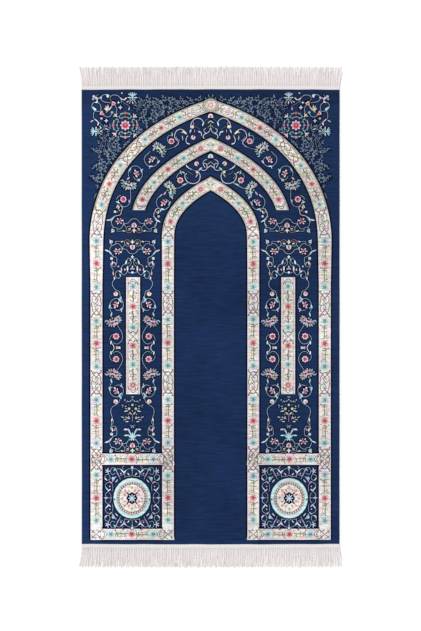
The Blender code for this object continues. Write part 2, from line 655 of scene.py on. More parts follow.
addMotif("bandCross", """
    thread bark 2.3 -13,-11 -5,-4 5,4 13,11
    thread umber 2.3 13,-11 5,-4 -5,4 -13,11
    thread umber 2 -12,3 -9.6,8 -4,9.6 -1,13
    thread bark 2 12,-3 9.6,-8 4,-9.6 1,-13 / 12,3 8.6,7 8,12
    thread umber 2 -12,-3 -8.6,-7 -8,-12
    patch blush 0,5.4 4,0 0,-5.4 -4,0
    spot moss 2 0,0
    spot fern 1.9 0,9.6 0,-9.6 9.4,0 -9.4,0
""")

# Other yarns for a motif
dyes = {
    "iceBud": {"blush": "ice", "wine": "steel"},
    "coolPalmette": {"rose": "mist", "orchid": "mist", "fern": "silver", "wine": "night"},
    "aquaDiamond": {"ice": "aqua"},
    "lilacDiamond": {"ice": "lilac"},
    "creamSpray": {"shell": "cream", "blush": "stone", "lilac": "sand"},
    "blueFlower": {"shell": "mist", "petal": "mist", "brick": "lagoon", "rust": "deepTeal"},
}


# Draws the rows of a chart.
def chart(rows, at, dye=None):
    for kind, *words in rows:
        if kind in motifs:
            words += (0, 1, None)[len(words) - 1:]
            chart(motifs[kind], placed(*words[:3], at), dyes.get(words[3]))
        else:
            yarn = (dye or {}).get(words[0], words[0])
            shapes[kind](at, yarn, *words[1:])


# Between the outer and the middle arch
upperGap = readChart("""
    bud 0,529
    stem ice 2.2 7,511 0,517
    stem sage 2 8,499 0,506
    stem sage 1.8 0,510 0,499
    stem steel 1.6 16,515 11,520 6,519
    stem silver 2.5 1,498 3,490 10,484 16,487 18,493 13,497
    stem ice 2.4 10,484 17,481 20,475 17,470
    stem silver 2.9 21,504 18,511 22,518 29,523 39,523 47,517 52,508 53,498
    leaf ice 3.6 18,514 22,502
    dot cream 4.6 48,501
    leaf aqua 4.2 51,495 55,484
    leaf mauve 2.4 45,505 45,515 / 42,495 42,484
    stem steel 1.6 41,502 34,499 29,494
    leaf ice 4.2 34,490 24,485
    stem ice 2.6 26,488 24,483 24,478
    notchedBud 46,473 -20
    stem ice 2.2 60,478 64,471 65,464 62,457 58,455
    leaf ice 3.4 63,458 54,455
    stem silver 2.8 65,485 71,491 79,495 89,491 94,483 95,474 90,467 84,461
    leaf cream 5.4 74,491 62,481
    leaf sand 2.6 79,487 69,485
    leaf aqua 2.8 75,479 73,464
    stem lilac 1.6 91,475 87,468 81,465
    rosette 103,463 0 0.95
    leaf aqua 3.2 101,475 102,487
    stem haze 2.2 102,477 110,478 114,471 112,461 107,456
    stem silver 2.6 84,461 87,454 95,448
    stem steel 2.2 95,448 106,444 118,441
    palmette 134,443 125 1 coolPalmette
    leaf orchid 4.8 152,437 147,447
    leaf teal 4 158,438 167,429
    stem pond 2.8 163,432 172,424 175,415 171,404 162,397 150,397 141,403 139,412 142,419 148,422 153,421
    tulip 156,414 20
    leaf ice 3.4 151,397 164,397
    leaf aqua 2.8 160,396 162,390
    leaf ice 3.8 141,404 134,413
    stem pond 2.8 216,371 217,380 214,389 207,396 198,398 189,395 182,386 180,374 184,365 191,361 199,363
        203,370
    leaf aqua 3.4 210,393 215,383
    leaf ice 2.8 184,382 178,391
    leaf aqua 3 185,391 180,378
    leaf aqua 3.6 193,364 186,357
    leaf ice 3 185,365 194,357
    leaf teal 2.6 209,384 212,378
    tulip 196,379 -95
    leaf orchid 4.8 221,361 213,369
    palmette 216,348 -20 1 coolPalmette
    stem pond 2.7 212,337 211,324 211,311 214,299 222,291 231,291 239,297 244,304
    rosette 230,310 0 1.02
    leaf lilac 4 215,301 214,310
    stem haze 2.4 237,320 244,317 248,310
    leaf ice 3.6 239,300 250,304
    leaf aqua 3 246,300 242,309
    stem silver 2.3 239,293 232,288 235,280 237,270 246,267 253,265 261,258 262,249
    dot night 3.6 240,290 246,283
    leaf blush 3.2 243,297 249,286
    leaf blush 3.8 241,293 244,283
    spot stone 1.9 240,281
    leaf russet 4.4 248,281 243,273
    dot ice 3.4 252,277
    leaf ice 4 275,254 261,257
    leaf aqua 3 264,256 256,263
""")
# Between the middle and the inner arch
lowerGap = readChart("""
    bud 0,423 0 1 iceBud
    stem lilac 2 8,402 0,409
    stem silver 2.7 9,392 0,399
    stem silver 2.3 10,415 16,413 20,407 18,399 14,393
    stem silver 2.4 18,405 12,404 9,397 11,389 18,386 25,388
    leaf aqua 5 22,394 32,386
    stem steel 1.6 29,387 31,379
    notchedBud 37,404 -130
    leaf ice 3.6 65,398 56,392
    stem ice 2.4 64,401 63,396 56,391 50,389
    stem steel 1.6 50,389 44,386 37,385
    stem silver 2.9 34,383 28,375 28,366 32,357 41,352 52,352 62,357 67,365 68,374 63,378
    dot cream 3.6 36,382
    leaf sand 3 33,379 37,370
    leaf mauve 2.6 37,375 39,366
    stem steel 1.6 59,384 53,378 46,375
    leaf teal 3 65,371 58,362
    leaf cream 3 76,383 67,378
    leaf aqua 3.6 80,386 77,375
    stem haze 2.2 80,380 86,376 89,368 87,362
    rosette 80,360 0 0.98
    stem haze 2.3 58,355 66,349 76,344 88,338
    leaf aqua 3.4 63,352 76,347
    palmette 106,338 105 1 coolPalmette
    leaf haze 5 114,341 124,350
    leaf aqua 4 106,330 108,321
    leaf blush 3.6 103,320 100,310
    leaf orchid 4.8 124,321 117,331
    leaf aqua 4 127,324 136,315
    stem pond 2.8 131,321 138,315 143,306 142,295 137,287 129,282 120,283 111,290 108,299 112,307 119,310
    tulip 124,300 20
    leaf aqua 3.6 111,294 105,305
    leaf ice 3.6 132,285 121,283
    leaf aqua 3.6 130,285 133,276
    stem silver 2.3 138,286 144,284 144,278 139,274
    dot night 3.4 141,280
    leaf blush 4 136,281 139,271
    leaf russet 3 145,275 141,269
    dot silver 3.4 137,265
    stem silver 2.3 144,284 148,276 150,268 147,261
    leaf aqua 4.4 147,262 141,253
    leaf ice 3.4 144,257 132,249
    stem silver 2.3 142,254 143,246 148,239
""")
# Side panels, from the arch end down, round the panel's middle line
crownHead = readChart("""
    dot ice 4.2 56,198
    spot moss 2 55.4,197.8
    leaf ice 2.4 57.4,200 61,204
    stem haze 1.9 59,203 60,195 54,189 47,190 41,194 33,190 28,181 28,174 31,168
    stem haze 1.6 45,193 45,199 38,199 32,199
    leaf ice 3.4 31,197 24,200
    stem haze 1.8 26,199 22,198 20,192 24,184
    stem copper 2.2 22,198 18,202.6 10,203 5,198
    blade copper 2.6 19,196.6 8,197.6
    leaf ice 3 16,193 8,193
    stem haze 1.6 20,191 17,187 12,186 9,189 11,193
    leaf ice 4.8 0,204 0,191
    leaf ice 3.2 0,197 6,197
    cup 0,183
    cluster 39,173
    stem haze 1.9 53,189 58,184 60,176 / 56,166 50,160
    leaf aqua 4 62,174 54,163
    leaf sand 3.6 26,185 28,176
    stem haze 2 28,178 21,179 15,177 11,171 6,167 0,166
""")
crownSide = readChart("""
    leaf ice 4 73,177 58,171
    stem haze 1.9 55,165 50,159 42,157 41,148 42,139 47,132 54,135 58,141
    dot ice 3.8 55,154
    spot silt 1.7 54.6,153.4
    leaf blush 4.4 54,137 52,148
    stem blush 2.2 50,144 46,143 45,138
    stem haze 1.9 58,141 56,132 51,125 50,117
""")
crownFoot = readChart("""
    leaf sand 4.6 50,109 51,120
    leaf ice 4 47,97 48,107
    dot lilac 2.4 37,133
    diamond 0,158 0 0.85
    leaf lilac 3.4 3,154 7,147
    stem haze 1.9 4,151 10,155 15,149 18,141 26,136 29,129 29,121
    leaf ice 4.6 18,138 15,150
    stem haze 1.7 5,149 3,144 4,138 9,134 13,128 13,120
    leaf ice 4.6 13,120 13,135
    leaf teal 4 13,138 7,145
    stem haze 2 13,120 22,110 32,119
    leaf blush 3.2 28,121 30,129
    leaf blush 3 19,121 21,128
    stem haze 1.7 13,120 7,116 0,116
    smallTulip 0,129
    dot ice 3 0,117
    stem haze 2 32,119 37,122 43,118 45,110 42,103 36,101 31,108
    leaf ice 4.2 36,122 28,117
    leaf aqua 3.6 34,114 30,106
    stem haze 2 47,100 52,93 53,84 50,78 44,71 36,68 33,61 32,52
""")
# From the vine's own middle
sideVine = readChart("""
    curlBud 44,142 30
    stem haze 1.9 32,134 26,123 24,113 26,104 35,98 44,100 / 33,128 41,130 50,128 57,121 60,112 59,102
        56,94
    leaf aqua 4.4 35,126 28,135 / 38,130 27,118
    leaf aqua 4.6 58,114 62,103
    leaf haze 3 60,107 52,103
    leaf lilac 4.2 25,105 33,99
    leaf lilac 3 30,102 28,93
    leaf aqua 4 54,94 57,81
    tulip 43.4,112.6 35
    palmette 49,70 14
    stem haze 1.9 40,59 34,50 28,40 26,28 29,18 38,10 47,11
    rosette 43,30 0 1.02
    stem haze 1.7 52,35 58,29 60,20
    leaf ice 4.4 56,19 57,8
    leaf teal 4 52,16 46,10
    stem ice 2.2 54,11 50,6 48,0
    leaf orchid 5 44,3 36,-1
    leaf ice 5 38,0 31,-2
""")
vineTail = readChart("""
    stem haze 1.9 32,-215 35,-224 42,-231 51,-236 57,-245 56,-256 53,-267 55,-276 56,-285
    leaf cream 4 53,-266 55,-277
""")
# At the foot of the side panels
bush = readChart("""
    dot haze 2 0,-211.5
    leaf steel 2.4 1,-212 6,-209.5
    dot fern 1.8 0,-218
    leaf haze 2.8 2,-219 9,-225
    leaf silver 2.8 10,-224 15,-221
    leaf steel 2.2 14,-226 19,-223
    dot haze 2.2 20,-219
    dot mist 3 0,-232
    dot slate 1.8 9,-232
    dot haze 2.4 18,-236
    leaf haze 2.8 23,-236 29,-231
    leaf steel 2.2 24,-239.4 29,-238
    dot paleFern 3.4 9,-242
    leaf fern 2.6 14,-243 20,-241
    leaf paleFern 3.8 11,-247 23,-250
    dot mauve 1.8 0,-248
    leaf paleFern 3.6 1.4,-257.4 9.4,-250.6
    leaf fern 2.2 9,-258 13,-255
    stem mauve 1.8 0,-257 0,-276
    leaf silver 2.6 7,-270 11,-261
    leaf orchid 2.8 14.6,-267 19,-262.6
    leaf haze 3.4 21,-266.4 31,-262.6
    leaf fern 3 15,-270 24,-271
    leaf ice 2.8 10,-276 19,-276
    leaf mist 2.4 10,-270 14,-264
    leaf steel 2 21,-275 26,-273
    leaf teal 3 2,-284 9,-288
    leaf mauve 3 0.6,-286 4,-294
    leaf haze 4 10,-299 22,-294
    leaf blush 3.4 12,-296 24,-298
    leaf aqua 4.6 1,-322 7,-302
    leaf aqua 4 5,-309 12,-293
    leaf aqua 4.2 2,-320 13,-310
    leaf paleAqua 3.6 11,-312 23,-313
    leaf teal 3.6 3,-321 13,-324
    leaf paleAqua 3.8 0,-319 0,-304
    leaf ice 3.6 0,-318 4,-327
    stem haze 1.8 5,-323 11,-326 15,-332 16,-340
""")
# The spandrels' outer corners
cornerScroll = readChart("""
    dot lilac 3.6 308,581 302,577
    dot haze 3 310,574
    leaf teal 3 302,582 296,587
    stem cream 3 299,576 299,566
    stem lilac 2.8 299,576 289,577
    dot lilac 3 289,578
    stem haze 2 299,566 308,565 313,558 312,551 306,544 298,542 290,541
    leaf ice 4 304,565 296,567
    stem haze 2 299,566 292,561 289,552 290,542
    leaf aqua 5.4 303,546 312,554
    dot ice 2.8 304,547
    stem haze 1.9 290,574 287,582 281,586 273,586
    leaf aqua 5 277,585 266,584
    dot ice 3 271,581
    stem haze 2 290,576 285,569 277,566 268,565 261,563
    stem moss 2.2 265,581 265,574 261,568
    stem haze 2 265,580 260,584 252,585 244,583 238,577 235,571 236,565
    fanFlower 257,563 -150
    fanFlower 287,536 -60
    stem haze 1.9 254,559 249,553 247,546 250,539 / 304,544 308,538 309,531 308,524 302,517 / 282,532
        276,528 269,527 263,531 261,536
    leaf cream 3.4 272,543 281,551 / 272,544 277,557 / 270,544 271,560
    leaf cream 3.2 269,544 260,556
    leaf sage 4 277,538 268,547
    dot haze 3.4 260,539
    diamond 243,565 0 0.7 aquaDiamond
    dot lilac 3 288,523
    diamond 238,552 0 1.05 lilacDiamond
    diamond 275,517 0 0.95 lilacDiamond
    dot lilac 2.4 234,590
    leaf lilac 3.2 308,519 318,513
    stem blush 2.8 238,577 232,573 227,572 223,576
    leaf blush 3.6 227,572 221,579
    leaf lilac 3.2 222,565 215,570
    stem blush 2.8 304,521 299,516 295,511 297,506
    leaf blush 3.6 295,513 298,504
    leaf lilac 3 293,504 288,496
    stem steel 1.6 234,570 227,563 219,559 214,554 215,547
    leaf lilac 3.2 214,553 216,544
    stem steel 1.6 293,514 287,506 280,499 275,495
    leaf lilac 3.2 279,497 268,493
    stem steel 1.5 280,480 276,470 266,455 262,440 / 278,474 288,458 294,440
    stem steel 1.4 276,468 278,452 284,434
    stem steel 1.5 204,552 196,548 184,556 172,574
    starLeaf 206,580
    starLeaf 304,489 90
    spandrelFlower 225,505
    spray 251,532 45 1 creamSpray
    spray 200,530 -45
    spray 253,481 135
    spray 199,479 -135
""")
# One corner of a foot square, from its middle
squareScroll = readChart("""
    leaf silver 3 65,70 71,75 / 65,70 63,80 / 65,70 57,71 / 65,70 62,62 / 65,70 71,66
    stem haze 1.9 57,71 57,65 52,61 45,65 / 57,72 54,79 48,80
    leaf aqua 3.2 49,70 44,80
    leaf haze 3.4 46,79 39,66
    leaf mauve 3.4 41,69 34,55
    dot aqua 4.2 50,51
    leaf haze 4 50,50 41,57 / 50,50 52,41
    leaf lilac 3.4 45,40 37,49
    leaf orchid 3.4 61,44 52,37
    stem haze 1.9 62,62 70,60 72,53 68,47 61,47 58,54 61,61
    leaf ice 3.6 73,53 66,45
    stem haze 1.9 34,56 31,49
    stem haze 1.6 52,36 51,27 52,18
    stem haze 1.9 59,42 68,38 71,31 67,24
    leaf ice 3 71,29 61,17
    leaf ice 2.8 56,24 65,16
    dot lilac 2 59,30
    stem haze 1.9 64,16 70,11 70,4 65,-1
    stem mauve 1.6 61,14 56,8 56,0
    leaf lilac 4.4 63,0 75,0
    stem haze 1.5 70,0 54,0
    stem haze 1.8 4,77 11,76 17,70 20,62 19,54
    dot ice 3.4 0,80
    dot sage 2.6 0,74
    stem haze 1.8 0,73 0,61
    leaf ice 3 13,66 7,59
    stem mauve 1.6 19,57 10,56 0,59
    leaf ice 3.4 31,76 20,65
    leaf ice 3 16,73 24,64
    stem haze 1.9 28,75 35,77 42,75
    stem mauve 1.8 22,84 27,80 23,75
    dot lilac 2.2 30,64
    stem haze 1.6 34,58 28,59 21,64
""")
medallion = readChart("""
    spot night 56.5 0,0
    spot lagoon 53.6 0,0
    spot paleAqua 52.4 0,0
    spot aqua 47 0,0
    spot mist 45 0,0
    spot umber 43.2 0,0
    cells shell 37.6 42 36 0.56
    cells bark 36.4 38 60 1
    spot archGround 36.2 0,0
    petals shell 8 4 18 34 45
    petals fern 7 8 23 33
    petals sage 2.6 8 24 32
    petals blush 11 4 12 25
    petals petal 3.4 8 17 28 24
    petals rose 2.8 8 17 25 -20
    petals garnet 6 4 15 22.4 45
    petals brick 2.4 4 17 27 64
    spot night 13 0,0
    spot night 6.6 0,9.4 9.4,0 0,-9.4 -9.4,0
    spot night 6 6.8,6.8 6.8,-6.8 -6.8,-6.8 -6.8,6.8
    petals ice 2.8 4 1 13 45
    petals aqua 3.2 4 1 12.2
    spot ice 2.4 0,0
    spot teal 2.8 -50,-3 50,-3
""")
print("charts ready")

# Where the bands run: out from the middle line, or up from the rug's middle
places = {"outer": 301, "inner": 112.4, "bar": 204.4, "square": -375.2, "foot": -573.2, "bandsEnd": -587.7,
          "crossStart": 287, "crossEnd": 126}
bandEdges = {"outline": 4.2, "rail": 3.8, "inset": 2, "flowerReach": 12, "braidFrom": 75, "archFlower": 0.86,
             "stemHalf": 16, "hookAt": 1.06, "corner": (17, 12)}


# A band's middle line: its points with the length up to each.
def bandLine(*points):
    lengths = [0]
    for near, far in zip(points, points[1:]):
        lengths.append(lengths[-1] + math.dist(near, far))
    return {"points": points, "lengths": lengths}


def curvePoints(a, b, c, d, pieces=34):
    points = []
    for step in range(pieces):
        t = step / pieces
        points.append(blend(((1 - t) ** 3, 3 * t * (1 - t) ** 2, 3 * t**2 * (1 - t), t**3), (a, b, c, d)))
    return points + [d]


# The place and the outward step of a band line at a length from its start.
def onLine(line, length):
    points, lengths = line["points"], line["lengths"]
    index = max(i for i in range(len(points) - 1) if lengths[i] <= max(length, 0))
    near, far = points[index], points[index + 1]
    span = lengths[index + 1] - lengths[index]
    step = ((far[0] - near[0]) / span, (far[1] - near[1]) / span)
    past = length - lengths[index]
    return (near[0] + step[0] * past, near[1] + step[1] * past), (-step[1], step[0])


# A place on a band: x is outwards across it, and y runs back towards its start.
def onBand(line, length, flip=1):
    def at(point):
        middle, out = onLine(line, length - point[1] * flip)
        return (middle[0] + out[0] * point[0], middle[1] + out[1] * point[0])

    return at


def onArch(band, height):
    return height > band.get("archFoot", math.inf)


# A strip of a band between two distances outwards from its middle line, each a share of its half width and
# millimetres more. Its yarn may change at the arch's foot.
def layStrip(band, yarn, inner, outer):
    line = band["line"]
    archYarn, straightYarn = yarn if isinstance(yarn, tuple) else (yarn, yarn)
    changes = [length for length, _ in band["widths"] if length < line["lengths"][-1]]
    stations = sorted({*line["lengths"], *changes})
    sides = []
    for length in stations:
        middle, out = onLine(line, length)
        grow = np.interp(length, *zip(*band["widths"])) / 2
        if 0 < length and middle[0] < out[0] * (grow + bandEdges["outline"]):
            continue
        pair = []
        for share, extra in (inner, outer):
            reach = share * grow + extra
            x, y = middle[0] + out[0] * reach, middle[1] + out[1] * reach
            if length == 0 and "archFoot" in band:
                x, y = 0, middle[1] + reach / out[1]
            if "foot" in band and (length == stations[-1] or y < band["foot"]):
                x, y = x + out[1] * (y - band["foot"]) / out[0], band["foot"]
            pair.append((x, y))
        sides.append(pair)
    for (a, b), (c, d) in zip(sides, sides[1:]):
        lay(archYarn if onArch(band, a[1]) else straightYarn, (a, b, d, c), "ground")


# A short band across, from the outer side band to the inner one
def crossBand(height, width):
    return {
        "line": bandLine((places["crossStart"], height), (places["crossEnd"], height)),
        "widths": ((0, width),),
        "rails": ("rail", "rail"),
        "flowers": "b24 r79 b136",
        "more": (("barEnd", 7, -1), ("barEnd", 153, 1)),
    }


# Bands: the middle line, its widths by length, and what stands along it: b a blue flower, r a red one and
# x a crossing. An arched band starts at its point, and its ground and rails change at its archFoot's height.
bands = {
    "outer": {
        "line": bandLine(
            *curvePoints((0, 558.2), (258.8, 474.3), (places["outer"], 299.7), (places["outer"], 195.8)),
            (places["outer"], places["bandsEnd"]),
        ),
        "widths": ((0, 30.3), (60, 32), (400, 34.4), (490, 35.6), (570, 33), (620, 31)),
        "archFoot": 284,
        "rails": (("ash", "rail"), ("stone", "rail")),
        "flowers": "b88 r144 b196 b291 r348 b406 b503 r562 b625 b714 r773 b834 b922 r977 "
                   "b1036 b1120 r1181 b1240",
        "more": (("bandCurls", 26, 1), ("bandBlossom", 50, 1), ("bandCurls", 68, 1)),
    },
    "inner": {
        "line": bandLine(
            *curvePoints((0, 352), (110.4, 292.6), (112, 238.2), (places["inner"], 205.5)),
            (places["inner"], places["bandsEnd"]),
        ),
        "widths": ((0, 31), (120, 32.5), (200, 31.5), (300, 30.6)),
        "archFoot": 228,
        "rails": (("ash", "rail"), ("stone", "rail")),
        "flowers": "r31 b91 r149 x176 b203 r261 b323 b408 r470 b530 b619 r675 b733 b820 r878 b936",
    },
    "middle": {
        "line": bandLine(*curvePoints((0, 455.4), (20, 447.7), (164.5, 383.7), (189.8, 280.9))),
        "widths": ((0, 31.8), (266, 32.2)),
        "archFoot": 306,
        "rails": ("ash", "stone"),
        "foot": 281.7,
        "flowers": "r29 b80 r131 b181 r236",
        "more": (("barEnd", 255, -1),),
    },
    "bar": {
        "line": bandLine((places["bar"], 104.3), (places["bar"], -203.6)),
        "widths": ((0, 36.4),),
        "stem": "barStem",
        "rails": ("rail", "rail"),
        "inset": "silt",
        "flowers": "b24 r77 b132 x156 r180 b230 r284",
        "more": (("barEnd", 11, 1), ("barEnd", 297, -1)),
    },
    "square": crossBand(places["square"], 29.5),
    "foot": crossBand(places["foot"], 29),
}


def layBand(band):
    edge, rail, inset = bandEdges["outline"], bandEdges["rail"], bandEdges["inset"]
    layStrip(band, "night", (-1, -edge), (1, edge))
    layStrip(band, ("archGround", "ground"), (-1, 0), (1, 0))
    layStrip(band, band["rails"][0], (1, -rail), (1, 0))
    layStrip(band, band["rails"][1], (-1, 0), (-1, rail))
    if "inset" in band:
        layStrip(band, band["inset"], (1, -rail - inset), (1, -rail))
        layStrip(band, band["inset"], (-1, rail), (-1, rail + inset))


# A braid between two flowers: crossing arms at both ends, side brackets with an inward hook, scrolled ends.
# The rows are given for one end, lengthwise in half lengths, and turned about for the other.
braidThreads = readChart("""
    thread bark 2.2 -12,-0.9 -6,-0.68 0,-0.5 4,-0.38
    thread umber 2.2 10.6,-0.92 5.4,-0.68 0,-0.5 -4.4,-0.38
    thread umber 2.1 -6.4,-0.68 -10.8,-0.56 -11.6,-0.36 -10.8,-0.2 -7.6,-0.1 -2,-0.08 2.4,-0.17 1.4,-0.28
    thread bark 2.1 6.4,-0.68 10.4,-0.54 10.8,-0.3 12.4,-0.12 13,0 12,0.14
    thread olive 1.8 -5,-0.26 0,-0.36 4.4,-0.26
    thread umber 1.8 5,-0.08 3.6,0.02 0,0.04
""")
braidDots = readChart("""
    spot russet 1.6 -7.6,-0.1 12.6,0.02
    spot petal 2.2 6.6,0.9 6,-0.42
    blade paleFern 2.6 -4,-0.2 -6,-0.02
""")


def layBraid(at, half):
    for end, dye in ((1, {"olive": "moss"}), (-1, {})):
        def layRows(rows):
            for kind, yarn, width, *points in rows:
                shapes[kind](at, dye.get(yarn, yarn), width, *[(end * x, end * y * half) for x, y in points])

        layRows(braidThreads)
        hook = half * bandEdges["hookAt"]
        chart(motifs["braidHook"], lambda point: at((end * point[0], end * (hook + point[1]))))
        layRows(braidDots)


def fillBand(band):
    line = band["line"]
    marks = [(mark[0], float(mark[1:])) for mark in band["flowers"].split()]
    for number, (kind, length) in enumerate(marks):
        middle = onBand(line, length)
        redFlower = "bandFlower" if number % 3 else "openFlower"
        motif = {"b": "bandFlower", "r": redFlower, "x": "barCross"}[kind]
        size = bandEdges["archFlower"] if onArch(band, middle((0, 0))[1]) else 1
        chart(motifs[motif], placed((0, 0), 0, size, middle), dyes["blueFlower"] if kind == "b" else None)
    for (kind, near), (nextKind, far) in zip(marks, marks[1:]):
        half = (far - near) / 2 - bandEdges["flowerReach"]
        middle = onBand(line, (near + far) / 2)
        if far - near > bandEdges["braidFrom"]:
            layBraid(middle, half)
        elif "x" not in (kind, nextKind):
            flip = 1 if far % 2 < 1 else -1
            stretch = half / bandEdges["stemHalf"]
            motif = "archVine" if onArch(band, middle((0, 0))[1]) else band.get("stem", "bandStem")
            chart(motifs[motif], lambda point: middle((flip * point[0], point[1] * stretch)))
    for motif, length, flip in band.get("more", ()):
        chart(motifs[motif], onBand(line, length, flip))


# Spandrels: a flower in two dashed rings, with a bead on each side
spandrel = {
    "middle": (225.1, 505.5),
    # yarn, width, radius and two angles
    "arcs": (("lagoon", 3.2, 31.6, 8, 24), ("verdigris", 2.5, 21.6, 10, 36), ("deepTeal", 2, 28.4, 24, 40)),
    # yarn, width, and the radius and angle of both ends
    "leaves": (("haze", 2.6, (22, 39), (31, 33)), ("verdigris", 2.2, (16, 30), (23, 22))),
    # radius, size and the yarns round the ring
    "beads": (
        (32, 4, ("brick", "brick", "rose", "brick")),
        (21.8, 2.8, ("copper", "mauve", "lilac", "mauve")),
    ),
}
# Thin branches that fill the spandrels in rows along the outer arch, each on its own dark ground
sprigs = {"rows": 18, "columns": 16, "pitch": (22, 19), "start": (4, 570), "wobble": (3, 2.4), "side": 310,
          "foot": 287, "fromBand": 10, "fromFlower": 42, "scrollCorners": ((204, 496), (294, 468)),
          "turnedBelow": 480, "swing": 62, "size": 0.74, "sizeSwing": 0.12, "ground": 23,
          "lineStep": 12, "lineSteps": 56}


# Whether a sprig would stand in the corner scroll, the flower, the band or past the field.
def sprigClashes(x, y, fromBand):
    inScroll = any(x > left and y > low for left, low in sprigs["scrollCorners"])
    inFlower = math.dist((x, y), spandrel["middle"]) < sprigs["fromFlower"]
    return inScroll or inFlower or fromBand < sprigs["fromBand"] or x > sprigs["side"] or y < sprigs["foot"]


def laySprigs():
    startX, startY = sprigs["start"]
    pitchX, pitchY = sprigs["pitch"]
    wobbleX, wobbleY = sprigs["wobble"]
    outerLine = [onLine(bands["outer"]["line"], sprigs["lineStep"] * step)
                 for step in range(sprigs["lineSteps"])]
    for row in range(sprigs["rows"]):
        for column in range(sprigs["columns"]):
            wobble = math.sin(12.9 * column + 7.7 * row)
            x = startX + pitchX * (column + row % 2 / 2) + wobbleX * wobble
            y = startY - pitchY * row + wobbleY * math.sin(5.3 * column + 3.1 * row)
            middle, out = min(outerLine, key=lambda near: math.dist(near[0], (x, y)))
            if sprigClashes(x, y, (x - middle[0]) * out[0] + (y - middle[1]) * out[1]):
                continue
            turn = (180 if y < sprigs["turnedBelow"] else 0) + sprigs["swing"] * wobble
            at = placed((x, y), turn, sprigs["size"] + sprigs["sizeSwing"] * math.sin(3.7 * column + row))
            layRibbon(at, "dusk", sprigs["ground"], [(0, -24), (0, -7), (2, 7), (1, 22)], "shadow")
            chart(motifs["forkedBranch" if (column + row) % 2 else "branch"], at)


laySprigs()
# The bands lie over the sprigs, so these become part of the ground.
weaving = {"ground": weaving["shadow"] + weaving["motif"], "shadow": [], "motif": []}

for name in ("outer", "inner", "middle", "square", "foot", "bar"):
    layBand(bands[name])
inward, outward = bandEdges["corner"]
for name in ("square", "foot"):
    half = bands[name]["widths"][0][1] / 2
    low, high = places[name] - half, places[name] + half
    for x in (places["outer"], places["inner"]):
        upper = x - (inward if x == places["outer"] else outward)
        lay("ground", [(x - inward, low), (x + outward, low), (x + outward, high), (upper, high)], "ground")
for band in bands.values():
    fillBand(band)
plain = placed((0, 0))
for rows in (upperGap, lowerGap, cornerScroll):
    chart(rows, plain)
print("bands laid")

# Side panels: heights that the charts are turned upside down about, and the shift of the head under the arch
panel = {"middle": 206.1, "vineTurn": -81.3, "footTurn": -77.6, "archTurn": 212.5, "archShift": -4.5}


# The left and the right half of a side panel, moved by shift, and upside down about a height if one is given.
def panelCopies(shift=0, turnedAbout=None):
    def place(side):
        def copy(point):
            height = point[1] if turnedAbout is None else 2 * turnedAbout - point[1]
            return (panel["middle"] + shift + side * point[0], height)

        return copy

    return [place(1), place(-1)]


copies = panelCopies()
for rows in (crownHead, crownSide, crownFoot, bush, vineTail):
    chart(rows, plain)
for copies in (panelCopies(), panelCopies(0, panel["vineTurn"])):
    chart(sideVine, placed((0, panel["vineTurn"])))
copies = panelCopies(0, panel["footTurn"])
for rows in (crownHead, crownSide):
    chart(rows, plain)
copies = panelCopies(panel["archShift"], panel["archTurn"])
chart(crownHead, plain)

# Foot squares: scrolls in the four corners round a medallion
square = {"middle": (206.7, -477), "medallion": (207.2, -478), "squash": 0.925}
copies = [
    lambda point, side=side, end=end: (square["middle"][0] + side * point[0],
                                       square["middle"][1] + end * point[1])
    for side in (1, -1)
    for end in (1, -1)
]
chart(squareScroll, plain)
copies = [lambda point: point]


def onMedallion(point):
    return square["medallion"][0] + point[0] * square["squash"], square["medallion"][1] + point[1]


chart(medallion, onMedallion)


def laySpandrelRings(at):
    for quarter in (0, 90, 180, 270):
        for side in (1, -1):
            def polar(radius, angle):
                turn = math.radians(quarter + side * angle)
                return (radius * math.sin(turn), radius * math.cos(turn))

            for yarn, width, radius, start, stop in spandrel["arcs"]:
                arc = [polar(radius, start + (stop - start) * step / 3) for step in range(4)]
                layRibbon(at, "night", width + 2, arc, "shadow")
                layRibbon(at, yarn, width, arc)
            for yarn, width, base, tip in spandrel["leaves"]:
                leaf(at, yarn, width, polar(*base), polar(*tip))
    for number in range(4):
        turn = math.radians(90 * number)
        for radius, size, ringYarns in spandrel["beads"]:
            dot(at, ringYarns[number], size, (-radius * math.sin(turn), radius * math.cos(turn)))


laySpandrelRings(placed(spandrel["middle"]))

# The points of the three arches, and the crossings of the long bands with the short ones
apexes = {"outer": 558, "middle": 454.4, "inner": 351, "stretch": (1.16, 0.98)}
chart(motifs["apexRings"], lambda point: (point[0] * apexes["stretch"][0],
                                          apexes["outer"] + point[1] * apexes["stretch"][1]))
for name in ("middle", "inner"):
    chart(motifs["apexLeaves"], placed((0, apexes[name])))
for x in (places["outer"], places["inner"]):
    for y in (places["square"], places["foot"]):
        chart(motifs["bandCross"], placed((x, y)))
print("pattern charted:", {name: len(rows) for name, rows in weaving.items()})


# Neighbours of each corner along the borders between two yarns, without the corners on straight runs.
def yarnBorders(verts, kept):
    owners = {(a, b): yarn for face, yarn in kept for a, b in zip(face, face[1:] + face[:1])}
    near = {}
    for (a, b), yarn in owners.items():
        if owners.get((b, a)) != yarn:
            near.setdefault(a, set()).add(b)
            near.setdefault(b, set()).add(a)
    for _ in range(3):
        settled = set()
        for corner, (back, front, *more) in [(c, tuple(n)) for c, n in near.items() if len(n) > 1]:
            changed = settled & {back, corner, front} or near.get(corner) != {back, front}
            if more or changed or front in near[back]:
                continue
            (ax, ay), (bx, by), (cx, cy) = verts[back], verts[corner], verts[front]
            off = abs((cx - ax) * (by - ay) - (cy - ay) * (bx - ax))
            if off < weaveNet["straight"] * math.dist((ax, ay), (cx, cy)):
                near[back] = near[back] - {corner} | {front}
                near[front] = near[front] - {corner} | {back}
                del near[corner]
                settled |= {back, front}
    return near


